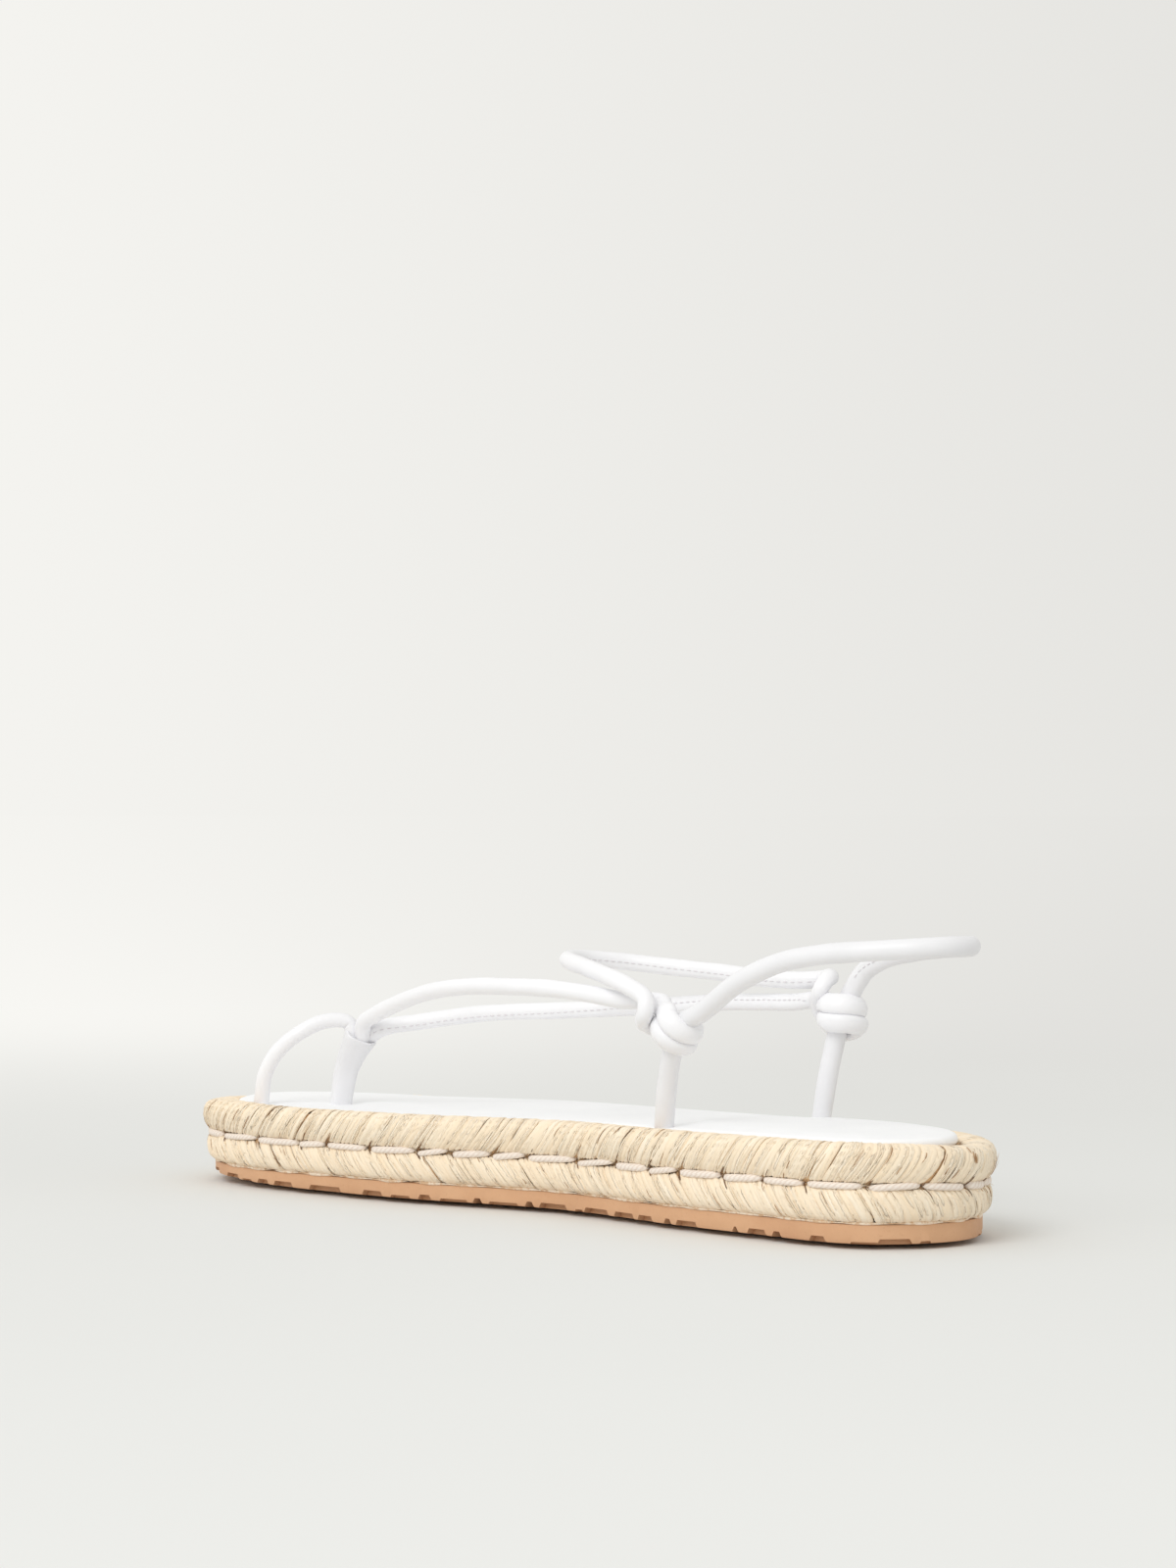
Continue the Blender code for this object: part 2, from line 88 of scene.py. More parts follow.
# Notches of the tread: way along the edge from the back of the heel, length, depth
TREAD = (
    (11.3, 3.0, 0.6), (19.2, 7.3, 1.2), (27.0, 6.4, 0.5), (39.8, 4.1, 1.3), (52.5, 2.5, 1.3),
    (58.8, 5.6, 1.3), (65.6, 1.4, 1.3), (81.5, 6.7, 1.3), (88.0, 2.1, 1.3), (96.3, 5.2, 1.3),
    (104.5, 7.3, 1.3), (115.0, 8.7, 1.3), (121.2, 3.1, 0.6), (129.6, 8.5, 1.3), (136.7, 2.2, 1.3),
    (144.1, 8.6, 0.7), (151.4, 2.2, 1.3), (158.2, 8.1, 0.7), (166.7, 3.5, 1.3), (174.4, 6.3, 0.7),
    (183.7, 6.3, 1.3), (200.4, 11.0, 1.3), (216.0, 6.9, 1.3), (224.3, 4.3, 1.2), (231.6, 4.8, 0.6),
    (239.3, 6.5, 1.2), (253.0, 6.0, 1.2), (267.0, 5.0, 1.2), (281.0, 6.0, 1.2),
)
NOTCH_REACH = 5.0
NOTCH_FLARE = (8.0, -0.8)  # how much longer a notch is far below the tread, and at its top
NOTCH_MARGIN = 6.0  # how far the cutting block stands out of the rubber
GROOVE_LENGTH = 3.0  # a notch shorter than this is the end of a groove right across
GROOVE_REACH = 100.0

# Bead of cement between rope and rubber
BEAD_FACES = (900, 6)
BEAD_THICK = 0.30
BEAD_INSET = 0.1
BEAD_LIFT = 0.18
BEAD_WAVES = 9

# Rope courses, from the groove between them: inset from the outline, share of the rope's height
UPPER_COURSE = (
    (2.6, 0.46), (1.0, 0.56), (0.1, 0.7), (0.1, 0.86), (0.9, 0.955), (2.6, 1.0), (5.6, 0.995), (8.4, 0.93),
)
LOWER_COURSE = ((2.6, 0.47), (1.3, 0.37), (1.0, 0.22), (1.7, 0.06), (3.4, 0.0), (6.0, 0.01))
COURSE_STEP = (0.25, 1.0)
ROPE_HEIGHT = 17.0
RECESS_INSET = 8.2  # of the recess for the footbed

# Core of the rope: depth below the strands, its inner end, and the shares of the height that it keeps to
CORE_DEPTH = 0.55
CORE_END = (RECESS_INSET + 0.6, 0.78)
CORE_SHARES = (0.07, 0.93)
CORE_COLUMNS = 260

# Strands and fibres
STRAND_TAPER = 0.10
STRAND_SINK = 0.8  # share of its height by which a strand sinks in
STRAND_PATTERN = (4000.0, 14.0)  # range of random starts and length of the fibre pattern
PARTING_REACH = 0.22  # share of a course over which a parting closes
PARTING_WIDTH = 2.4
PARTING_FADE = 1.8  # the higher, the fewer wide partings
HEEL_UPRIGHT = 0.32  # share by which strands stand more upright round the heel
HEEL_ROUND = 34.0
BULGE_LEAD = 0.2  # share of its slant by which a strand runs ahead over the bulge
TUFT_COUNT = 7
LOOSE_COUNT = 170
LOOSE_FACES = (3, 5)
LOOSE_UPPER = 0.62  # share of the loose fibres on the upper course
LOOSE_TOP = 0.42  # share of a course up to which fibres come loose
LOOSE_TAPER = (0.1, 0.4)
LOOSE_LIFT = 0.1
LOOSE_CURL = 1.6

# Thread that sews the courses together
STITCHES = 44
THREAD_FACES = (10, 14)
THREAD_FLAT = 0.8
THREAD_ENDS = 6.0  # the higher, the blunter the ends of a stitch
THREAD_INSET = 1.6
THREAD_DIVE = (1.5, 5.0)  # how deep the ends of a stitch go, and how steeply
THREAD_LEVEL = 0.465  # share of the rope's height
SHORT_PATTERN = (900.0, 6.0)  # as STRAND_PATTERN, for thread and loose fibres

# Footbed: its rolled edge by inset and depth, and rows of its face by share of the way to the spine
FOOTBED_THICKNESS = 2.6
FOOTBED_EDGE = (
    (1.0, 2.6), (0.3, 2.4), (0.0, 2.0), (0.0, 1.4), (0.15, 0.85), (0.5, 0.42), (1.0, 0.18), (1.7, 0.05),
    (3.0, 0.0),
)
FACE_SHARES = (0.12, 0.28, 0.46, 0.64, 0.82, 1.0)
FACE_DEPTH = 0.5  # what lies deeper belongs to the rolled edge
FOOTBED_RING = 4001
FOOTBED_HALF = 140
SPINE = (27.0, 221.0)
# Soft dents where a cord goes down through the leather: x, y, spread, depth
DENTS = (
    (-17.0, 80.9, 4.2, 0.45), (22.7, 69.7, 4.2, 0.45), (-29.3, 218.0, 3.6, 0.4), (-11.0, 208.7, 4.6, 0.45),
)
# Soft press of the heel and the ball of the foot: x, y, spread across, spread along, depth
PRESSES = ((2.0, 34.0, 15.0, 22.0, 0.7), (0.0, 176.0, 24.0, 20.0, 0.45))

# Cushion under the heel: foremost point, roundness of its front, width of its slope, height
CUSHION_FRONT = (2.0, 86.0)
CUSHION_ROUND = 4.75
CUSHION_SLOPE = 3.5
CUSHION_HEIGHT = 0.7

# Cords: radius
FRONT_CORD = 2.05
REAR_CORD = 2.3
TOE_CORD = 1.9
CORD_STEP = (1.3, math.radians(7.0))
CORD_SIDES = 20
CREASE_MOST = 0.6
CREASE_PITCH = 1.7
CREASE_DEPTH = 0.16
LUMP_SIZES = (0.012, 0.010)
LUMP_PITCHES = (3.7, 1.9)

# Seam of the cords: its groove, its stitches, and the values that turn it towards the foot
SEAM_GROOVE = 0.07
SEAM_WIDTH = 0.035
SEAM_PITCH = 1.9
SEAM_END = 2.0
SEAM_DEPTH = 0.97
SEAM_SIZE = (0.17, 0.2, 0.62)
FOOT_MIDDLE = ((90.0, 0.0), (150.0, -4.0), (200.0, -10.0))
SEAM_RISE = ((110.0, 0.3), (165.0, -0.4))
INSTEP_FROM = 136.0
INSTEP_UNDER = 52.0
ANKLE_MIDDLE = 68.0
ANKLE_DROP = 6.0
LEG_TOP = 38.0
LEG_FRONT = 100.0

# Toe post: x, y, z, radius
TOE_POST = (
    (-11.2, 209.0, 16.9, 2.6), (-11.2, 208.2, 21.5, 2.7), (-11.1, 206.6, 27.5, 2.9),
    (-10.8, 204.0, 32.4, 3.4), (-10.6, 201.5, 36.0, 4.1),
)
POST_SOCKET = 1.8
POST_STEP = (0.7, 1.0)
POST_FACE = Vector((-0.42, -0.90, 0.0)).normalized()
POST_WALL = 0.9
POST_SIDES = 28
POST_BOX = 3.4  # the higher, the sharper the corners of the sleeve
POST_DEEP = 0.88  # depth of the sleeve for its width
POST_RIM = (6, 5.0)
POST_DIP = (0.2, 0.25)
POST_LIP = 0.35

# Knots: middle, backward lean of the core
MEDIAL_KNOT = ((-20.0, 72.8, 44.2), math.radians(42.0))
LATERAL_KNOT = ((26.0, 66.1, 46.3), math.radians(3.0))
KNOT_MIDDLES = np.array((MEDIAL_KNOT[0], LATERAL_KNOT[0]))
KNOT_REACH = 9.5
KNOT_PRESS = (0.84, 1.24)  # thickness and width of the cord pressed flat in a knot
PRESS_REACH = (5.7, 9.5)  # how far from the middle of a knot a cord is pressed
TURN_RADIUS = 4.1
TURN_PITCH = 4.6
TURN_ANGLES = range(-40, 541, 20)
TURN_STEP = 260.0  # degrees over which a turn steps down
TURN_STEPS = (-180.0, 180.0, 540.0)  # middles of these steps
TURN_START = 1.5

# Bight of the front cord over each knot, in the knot's own axes: back, up the core, towards the medial side
MEDIAL_BIGHT = (
    (-3.4, -5.7, -3.7), (-6.0, -5.4, 0.4), (-6.1, -3.5, 4.3), (-5.6, -0.3, 6.1), (-7.7, 1.6, 5.8),
)
LATERAL_BIGHT = (
    (-4.4, -5.0, -3.2), (-7.0, -2.2, -1.6), (-6.6, 1.8, 1.4), (-3.6, 5.4, 3.8), (-3.6, 7.5, 1.8),
    (-6.5, 7.6, -1.8), (-9.6, 6.9, -2.6), (-13.5, 6.3, -0.6),
)
# Ends of the instep cords inside the knots, in the same axes
MEDIAL_TUCK = ((-8.8, -0.6, -1.0), (-5.7, 0.4, 0.9))
LATERAL_TUCK = ((-9.6, 2.0, 0.9), (-5.6, 2.2, 1.4))

# Routes of the cords: x, y, z
MEDIAL_INSTEP = (
    (-12.4, 197.8, 39.4), (-13.9, 191.0, 42.1), (-16.5, 179.2, 45.3), (-18.6, 168.1, 47.9),
    (-20.4, 157.5, 49.7), (-22.6, 142.6, 51.1), (-24.2, 128.7, 51.6), (-25.2, 111.9, 51.8),
    (-24.0, 99.3, 51.0), (-21.6, 91.4, 49.9),
)
LATERAL_INSTEP = (
    (-7.4, 196.0, 38.2), (-2.2, 188.4, 39.8), (5.8, 172.6, 42.3), (14.4, 150.4, 43.7), (19.6, 134.4, 44.8),
    (23.6, 117.5, 46.2), (25.4, 105.5, 47.1), (26.3, 92.8, 47.6), (25.7, 81.0, 48.1),
)
TOE_LOOP = (
    (-29.3, 218.0, 20.5), (-29.1, 217.0, 26.2), (-27.3, 214.4, 31.9), (-23.0, 210.2, 37.0),
    (-17.5, 206.8, 39.8), (-12.9, 203.6, 39.3),
)
FRONT_ANKLE = (
    (-24.8, 84.7, 53.4), (-23.4, 93.4, 55.3), (-20.2, 103.7, 56.7), (-15.5, 113.9, 57.4),
    (-9.5, 123.0, 57.8), (0.0, 129.0, 57.6), (10.2, 126.3, 56.7), (17.4, 117.4, 55.5), (22.2, 103.0, 54.4),
    (24.0, 90.4, 53.4),
)
REAR_ANKLE = (
    (-21.2, 63.0, 48.4), (-21.5, 51.4, 55.2), (-19.7, 40.5, 59.8), (-17.2, 30.6, 61.9), (-10.5, 15.2, 63.3),
    (-2.3, 7.4, 63.9), (6.3, 7.4, 63.9), (14.5, 15.4, 63.4), (21.2, 30.0, 62.4), (24.6, 43.0, 61.0),
    (26.3, 53.6, 58.8), (26.8, 60.0, 55.6),
)
MEDIAL_LEG = ((-17.0, 80.9, 20.3), (-18.0, 78.8, 30.0), (-19.4, 75.4, 38.5))
LATERAL_LEG = ((22.7, 69.7, 21.9), (24.0, 69.0, 31.0), (25.6, 67.6, 41.0))
LEG_LIFT = 0.4  # of a cord's end above the underside of the footbed

# Camera, in the part's own metres
CAMERA_PLACE = (-0.6543, -0.7421, 0.1008)
CAMERA_WAY = (0.6600, 0.7513, 0.0)

# Floor: its mottle, and where it runs out into the studio round its middle, in metres
FLOOR_MOTTLE = 2.0
FLOOR_FADE = (0.3, 1.15)
FLOOR_MIDDLE = (-0.165, -0.188, 0.0)
# Studio round the sandal: its colour, its levels on the left and right, and how gently they meet
STUDIO_COLOUR = (255, 254, 250)
STUDIO_LEVELS = (0.935, 0.762)
STUDIO_SPREAD = 0.3
# Key light, a soft panel to the left and above
PANEL_WAY = (-0.76, -0.26, 0.72)
PANEL_FAR = 2.2

rng = random.Random(11)
vary = rng.uniform


# Shapes of the last


def eased(share):
    """A share from 0 to 1, slow at both ends."""
    return share * share * (3.0 - 2.0 * share)


def unit(rows):
    """Rows brought to length 1."""
    return rows / np.linalg.norm(rows, axis=1)[:, None]


def square_to(ahead, rows):
    """What is square to ahead in rows, brought to length 1."""
    return unit(rows - ahead * np.sum(rows * ahead, axis=1)[:, None])


def between(where, stops, rows):
    """Rows read at where between the stops at which they are given."""
    return np.column_stack([np.interp(where, stops, column) for column in rows.T])


def curve(first, last, out, back, steps):
    """Points on the smooth curve from first to last that leaves along out and arrives along back."""
    t = np.linspace(0.0, 1.0, steps, endpoint=False)[:, None]
    bend = out * t * (1.0 - t) ** 2 + back * t * t * (t - 1.0)
    return first * (1.0 - eased(t)) + last * eased(t) + bend


def closed_curve(points):
    """Dense points on the smooth closed curve through the given points, and the way along it."""
    knots = np.array(points)
    ahead = np.roll(knots, -1, axis=0) - knots
    step = np.linalg.norm(ahead, axis=1)
    total = len(knots)
    rows = np.zeros((total, total))
    right = np.zeros((total, 2))
    for i in range(total):
        before, after = step[i - 1], step[i]
        rows[i, i - 1] = 1.0 / before
        rows[i, i] = 2.0 / before + 2.0 / after
        rows[i, (i + 1) % total] = 1.0 / after
        right[i] = 3.0 * (ahead[i - 1] / before**2 + ahead[i] / after**2)
    slope = np.linalg.solve(rows, right)
    dense = []
    for i in range(total):
        j = (i + 1) % total
        dense.append(curve(knots[i], knots[j], slope[i] * step[i], slope[j] * step[i], OUTLINE_STEPS))
    dense = np.vstack((*dense, knots[:1]))
    along = np.r_[0.0, np.cumsum(np.linalg.norm(np.diff(dense, axis=0), axis=1))]
    return dense, along


edge_points, edge_way = closed_curve(OUTLINE)
EDGE_LENGTH = edge_way[-1]
edge_ahead = np.roll(edge_points[:-1], -1, axis=0) - np.roll(edge_points[:-1], 1, axis=0)
edge_normals = unit(np.c_[-edge_ahead[:, 1], edge_ahead[:, 0]])
edge_normals = np.vstack((edge_normals, edge_normals[:1]))


def edge_at(way):
    """Points of the outline and their outward normals, way millimetres along it from the back of the heel."""
    way = np.mod(way, EDGE_LENGTH)
    return between(way, edge_way, edge_points), unit(between(way, edge_way, edge_normals))


def inside_edge(way, inset):
    """Points of the plan, inset from the outline."""
    spot, normal = edge_at(way)
    return spot - normal * inset[:, None]


def place(spots):
    """Points of the last in the part's own frame."""
    return (spots - ORIGIN) * MM


def table(rows, y):
    return np.interp(y, *np.array(rows).T)


def spring(y):
    return TOE_SPRING * (np.maximum(y - SPRING_START, 0.0) / (SOLE_LENGTH - SPRING_START)) ** 2


def rubber_top(y):
    return spring(y) + table(RUBBER_THICKNESS, y)


def medial_rim(y):
    return spring(y) + table(RIM_HEIGHT, y)


def rope_top(x, y):
    """Height of the rope's rim, lower towards the lateral side."""
    share = np.clip((x - DROP_BETWEEN[0]) / (DROP_BETWEEN[1] - DROP_BETWEEN[0]), 0.0, 1.0)
    return medial_rim(y) - table(RIM_DROP, y) * eased(share)


def in_rope(way, inset, share):
    """Points of the rope, inset from the outline, at a share of its height."""
    plan = inside_edge(way, inset)
    low = rubber_top(plan[:, 1]) + GAP
    return np.c_[plan, low + share * (rope_top(*plan.T) - low)]


def footbed_top(y):
    return medial_rim(y) + table(FOOTBED_OVER_RIM, y)


def smooth_route(stops, step, turn_step):
    """Points along the smooth curve through the stops, closer together where it turns."""
    stops = np.array(stops)
    stops = np.vstack((2.0 * stops[0] - stops[1], stops, 2.0 * stops[-1] - stops[-2]))
    dense = []
    for p0, p1, p2, p3 in zip(stops, stops[1:], stops[2:], stops[3:]):
        a = np.linalg.norm(p1 - p0) ** 0.5
        b = np.linalg.norm(p2 - p1) ** 0.5
        c = np.linalg.norm(p3 - p2) ** 0.5
        out = (p1 - p0) / a - (p2 - p0) / (a + b) + (p2 - p1) / b
        back = (p2 - p1) / b - (p3 - p1) / (b + c) + (p3 - p2) / c
        dense.append(curve(p1, p2, out * b, back * b, ROUTE_STEPS))
    dense = np.vstack((*dense, stops[-2]))
    leg = np.diff(dense, axis=0)
    size = np.linalg.norm(leg, axis=1)
    way = leg / size[:, None]
    turn = np.arccos(np.clip(np.sum(way[1:] * way[:-1], axis=1), -1.0, 1.0))
    pace = size / step + np.r_[0.0, turn] / turn_step
    along = np.r_[0.0, np.cumsum(pace)]
    wanted = np.linspace(0.0, along[-1], math.ceil(along[-1]) + 1)
    return between(wanted, along, dense)


# Making of pieces


def new_shape():
    """An empty mesh with pattern coordinates and a tone for each point."""
    shape = bmesh.new()
    shape.loops.layers.uv.new("lay")
    shape.verts.layers.float.new("tone")
    return shape


def laid_grid(shape, across, along, form, ruler=lambda u, v: (u, v), tone=0.0):
    """A grid laid out by form, welded where its edges meet, with ruler giving its pattern coordinates."""
    verts = bmesh.ops.create_grid(shape, x_segments=across, y_segments=along, size=1.0)["verts"]
    u, v = (np.array([vert.co[:2] for vert in verts]) * 0.5 + 0.5).T
    marks = np.column_stack(ruler(u, v))
    lay = shape.loops.layers.uv["lay"]
    tones = shape.verts.layers.float["tone"]
    for vert, spot, mark in zip(verts, place(form(u, v)), marks):
        vert.co = spot
        vert[tones] = tone
        for loop in vert.link_loops:
            loop[lay].uv = mark
    bmesh.ops.remove_doubles(shape, verts=verts, dist=WELD)


def grid_shape(across, along, form):
    """A shape of one grid, its open ends filled."""
    shape = new_shape()
    laid_grid(shape, across, along, form)
    bmesh.ops.holes_fill(shape, edges=[edge for edge in shape.edges if edge.is_boundary], sides=0)
    return shape


def add_grid(shape, across, along, form, ruler, tone=0.0):
    """Adds a grid, made on its own, to a larger shape."""
    part = new_shape()
    laid_grid(part, across, along, form, ruler, tone)
    mesh = bpy.data.meshes.new("part")
    part.to_mesh(mesh)
    part.free()
    shape.from_mesh(mesh)
    bpy.data.meshes.remove(mesh)


def stood(name, thing):
    """A new object in the scene."""
    obj = bpy.data.objects.new(name, thing)
    bpy.context.scene.collection.objects.link(obj)
    return obj


def made_of(material, name, shape):
    """A new object from its shape."""
    mesh = bpy.data.meshes.new(name)
    mesh.materials.append(material)
    shape.to_mesh(mesh)
    shape.free()
    return stood(name, mesh)


def piece(name, shape, material, sharp=math.pi):
    """A finished piece of the sandal from its shape. Edges that turn more than sharp stay crisp."""
    bmesh.ops.recalc_face_normals(shape, faces=shape.faces)
    for edge in shape.edges:
        edge.smooth = edge.calc_face_angle(0.0) < sharp
    for face in shape.faces:
        face.smooth = True
    obj = made_of(material, name, shape)
    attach(obj, "root")
    return obj


# Finishes


def shade(*screen):
    """A colour as a screen shows it, for a shader."""
    return (*[((c / 255.0 + 0.055) / 1.055) ** 2.4 for c in screen], 1.0)


def set_sockets(tree, made, sockets):
    """Sets or links the sockets of a shader node."""
    for key, value in sockets.items():
        if isinstance(value, bpy.types.NodeSocket):
            tree.links.new(value, made.inputs[key])
        elif value is not None:
            made.inputs[key].default_value = value


def node(tree, kind, output, sockets, **settings):
    """An output of a new shader node, its settings made and its sockets set."""
    made = tree.nodes.new("ShaderNode" + kind)
    for key, value in settings.items():
        setattr(made, key, value)
    set_sockets(tree, made, sockets)
    return made.outputs[output]


def noise(tree, where, scale, detail=3.0, rough=0.55):
    sockets = {"Vector": where, "Scale": scale, "Detail": detail, "Roughness": rough}
    return node(tree, "TexNoise", "Fac", sockets)


def ramp(tree, amount, low, dark, high, light):
    """A colour that turns from dark to light while amount goes from low to high."""
    made = tree.nodes.new("ShaderNodeValToRGB")
    tree.links.new(amount, made.inputs["Fac"])
    for element, spot, colour in zip(made.color_ramp.elements, (low, high), (dark, light)):
        element.position = spot
        element.color = shade(*colour)
    return made.outputs["Color"]


def blend(tree, amount, colour, other):
    return node(tree, "MixRGB", "Color", {"Fac": amount, "Color1": colour, "Color2": shade(*other)})


def scaled(tree, where, scale):
    return node(tree, "Mapping", "Vector", {"Vector": where, "Scale": scale})


def reach(tree, value, low, high, to_low=0.0, to_high=1.0, ease="LINEAR"):
    """A value brought from one range to another."""
    sockets = {"Value": value, "From Min": low, "From Max": high, "To Min": to_low, "To Max": to_high}
    return node(tree, "MapRange", "Result", sockets, interpolation_type=ease)


def bump(tree, height, strength, distance, under=None):
    sockets = {"Height": height, "Strength": strength, "Distance": distance, "Normal": under}
    return node(tree, "Bump", "Normal", sockets)


def object_coordinates(tree):
    return node(tree, "TexCoord", "Object", {})


def lay_coordinates(tree):
    return node(tree, "UVMap", "UV", {}, uv_map="lay")


def new_finish(name):
    material = bpy.data.materials.new(name)
    material.use_nodes = True
    return material, material.node_tree


def set_finish(material, colour, rough, normal=None, more=None):
    """A material with the sockets of its shader set."""
    sockets = {"Base Color": colour, "Roughness": rough, "Normal": normal} | (more or {})
    set_sockets(material.node_tree, material.node_tree.nodes["Principled BSDF"], sockets)
    return material


def white_leather(name, light, dark, grain_scale, grain, rough):
    """Smooth white leather with fine grain and slightly uneven dye."""
    material, tree = new_finish(name)
    where = object_coordinates(tree)
    cloud = noise(tree, where, 55.0, 4.0)
    fine = noise(tree, where, grain_scale, 5.0, 0.65)
    pores = node(tree, "TexVoronoi", "Distance", {"Vector": where, "Scale": grain_scale * 0.9})
    colour = ramp(tree, cloud, 0.32, dark, 0.62, light)
    normal = bump(tree, pores, grain, 0.00012)
    normal = bump(tree, fine, grain * 0.8, 0.0001, normal)
    rough = reach(tree, fine, 0.3, 0.7, rough - 0.06, rough + 0.08)
    more = {"Specular IOR Level": 0.45, "Coat Weight": 0.12, "Coat Roughness": 0.32}
    return set_finish(material, colour, rough, normal, more)


def jute_fibre(name, pale, straw, brown):
    """Jute fibres that run along the lay of each strand, paler and darker from strand to strand."""
    material, tree = new_finish(name)
    lay = lay_coordinates(tree)
    tone = node(tree, "Attribute", "Fac", {}, attribute_name="tone")
    streak = noise(tree, scaled(tree, lay, (2.6, 0.13, 1.0)), 1.0, 4.0, 0.62)
    hair = noise(tree, scaled(tree, lay, (7.5, 0.32, 1.0)), 1.0, 3.0, 0.6)
    patch = noise(tree, object_coordinates(tree), 70.0, 2.0)
    colour = ramp(tree, streak, 0.28, straw, 0.58, pale)
    colour = blend(tree, reach(tree, hair, 0.58, 0.80, 0.0, 0.36), colour, brown)
    colour = blend(tree, reach(tree, tone, 0.0, 1.0, 0.0, 0.75), colour, straw)
    colour = blend(tree, reach(tree, patch, 0.45, 0.75, 0.0, 0.35), colour, straw)
    normal = bump(tree, streak, 0.28, 0.0003)
    normal = bump(tree, hair, 0.34, 0.00018, normal)
    rough = reach(tree, hair, 0.3, 0.7, 0.62, 0.85)
    more = {"Specular IOR Level": 0.25, "Sheen Weight": 0.12, "Sheen Roughness": 0.5}
    return set_finish(material, colour, rough, normal, more)


def crumbly(name, light, dark, grain=(900.0, 4.0, 0.55), turn=(0.35, 0.7), rough=0.9):
    """Rough stuff of dark and light grains: the body of the rope and the slits, darker for painted shade,
    bark or dried cement.
    """
    material, tree = new_finish(name)
    grains = noise(tree, object_coordinates(tree), *grain)
    colour = ramp(tree, grains, turn[0], dark, turn[1], light)
    return set_finish(material, colour, rough, bump(tree, grains, 0.6, 0.0004))


def sewing_thread(name, light, dark):
    """Plied thread, its twist running round each stitch."""
    material, tree = new_finish(name)
    lay = lay_coordinates(tree)
    twist = {"Vector": scaled(tree, lay, (0.55, 0.42, 1.0)), "Scale": 1.0, "Distortion": 1.2, "Detail": 2.0}
    ply = node(tree, "TexWave", "Fac", twist, bands_direction="DIAGONAL")
    fuzz = noise(tree, scaled(tree, lay, (3.0, 2.0, 1.0)), 1.0, 4.0)
    colour = ramp(tree, ply, 0.1, dark, 0.65, light)
    colour = blend(tree, reach(tree, fuzz, 0.5, 0.8, 0.0, 0.4), colour, dark)
    normal = bump(tree, ply, 0.08, 0.00012)
    normal = bump(tree, fuzz, 0.3, 0.0001, normal)
    return set_finish(material, colour, 0.75, normal, {"Specular IOR Level": 0.3})


def gum_rubber(name, light, mid, dark):
    """Tan gum rubber, matt and a little mottled, with moulding grain."""
    material, tree = new_finish(name)
    where = object_coordinates(tree)
    mottle = noise(tree, where, 45.0, 5.0, 0.6)
    speck = noise(tree, where, 1400.0)
    colour = ramp(tree, mottle, 0.3, mid, 0.66, light)
    colour = blend(tree, reach(tree, speck, 0.62, 0.8, 0.0, 0.35), colour, dark)
    normal = bump(tree, speck, 0.3, 0.0001)
    normal = bump(tree, noise(tree, where, 220.0), 0.25, 0.0003, normal)
    rough = reach(tree, speck, 0.3, 0.7, 0.5, 0.66)
    return set_finish(material, colour, rough, normal, {"Specular IOR Level": 0.35})


def studio_level(tree, way):
    """How bright the studio is along a way from the sandal."""
    aside = Vector(CAMERA_WAY).normalized().cross(Vector((0.0, 0.0, 1.0)))
    side = node(tree, "VectorMath", "Value", {0: way, 1: tuple(aside)}, operation="DOT_PRODUCT")
    return reach(tree, side, -STUDIO_SPREAD, STUDIO_SPREAD, *STUDIO_LEVELS, "SMOOTHSTEP")


def pale_floor(name, colour):
    """A pale floor that runs out into the light of the studio away from the sandal."""
    material, tree = new_finish(name)
    where = object_coordinates(tree)
    darker = [c - FLOOR_MOTTLE for c in colour]
    tint = ramp(tree, noise(tree, where, 3.0, 2.0), 0.3, darker, 0.7, colour)
    set_finish(material, tint, 0.9, more={"Specular IOR Level": 0.1})
    away = node(tree, "VectorMath", "Value", {0: where, 1: FLOOR_MIDDLE}, operation="DISTANCE")
    fade = reach(tree, away, *FLOOR_FADE, ease="SMOOTHERSTEP")
    way = node(tree, "VectorMath", "Vector", {0: where}, operation="NORMALIZE")
    light = {"Color": shade(*STUDIO_COLOUR), "Strength": studio_level(tree, way)}
    glow = node(tree, "Emission", "Emission", light)
    plain = tree.nodes["Principled BSDF"].outputs["BSDF"]
    both = node(tree, "MixShader", "Shader", {0: fade, 1: plain, 2: glow})
    tree.links.new(both, tree.nodes["Material Output"].inputs["Surface"])
    return material


cord_leather = white_leather("white_cord_leather", (244, 244, 247), (240, 240, 243), 2400.0, 0.10, 0.36)
# A darker copy of the white cord leather, painted shade for the rear cord and the toe post.
leather_painted_shade = white_leather("white_cord_leather_painted_shade", (236, 236, 239), (231, 231, 234), 2400.0, 0.10, 0.38)
footbed_leather = white_leather("white_footbed_leather", (250, 251, 253), (247, 248, 250), 1700.0, 0.14, 0.48)
rope_fibre = jute_fibre("pale_jute", (251, 239, 219), (245, 225, 196), (214, 166, 114))
# The body of the rope under the strands, coloured darker than them: painted shade of the gaps between the
# strands.
rope_core = crumbly("rope_heart_painted_shade", (238, 205, 162), (210, 168, 124))
rope_bark = crumbly("jute_bark", (202, 166, 126), (154, 114, 80))
# Dark slivers laid in the rope at the stitch ends: painted shade of the openings there.
rope_slit_shade = crumbly("painted_shade_slit", (150, 112, 78), (98, 70, 48))
white_thread = sewing_thread("sole_thread", (243, 233, 223), (231, 216, 203))
seam_thread = sewing_thread("cord_seam_thread", (239, 237, 239), (227, 224, 227))
tan_rubber = gum_rubber("tan_gum_rubber", (217, 173, 135), (205, 158, 121), (174, 124, 90))
# A darker copy of the tan rubber for the faces inside the tread notches: painted shade of the recesses.
recess_painted_shade_rubber = gum_rubber("tread_recess_painted_shade_rubber", (202, 156, 118), (188, 141, 105), (156, 112, 80))
cement = crumbly("dried_sole_cement", (244, 228, 208), (222, 188, 152), (600.0, 4.0, 0.65), (0.42, 0.56), 0.6)


# Rope sole


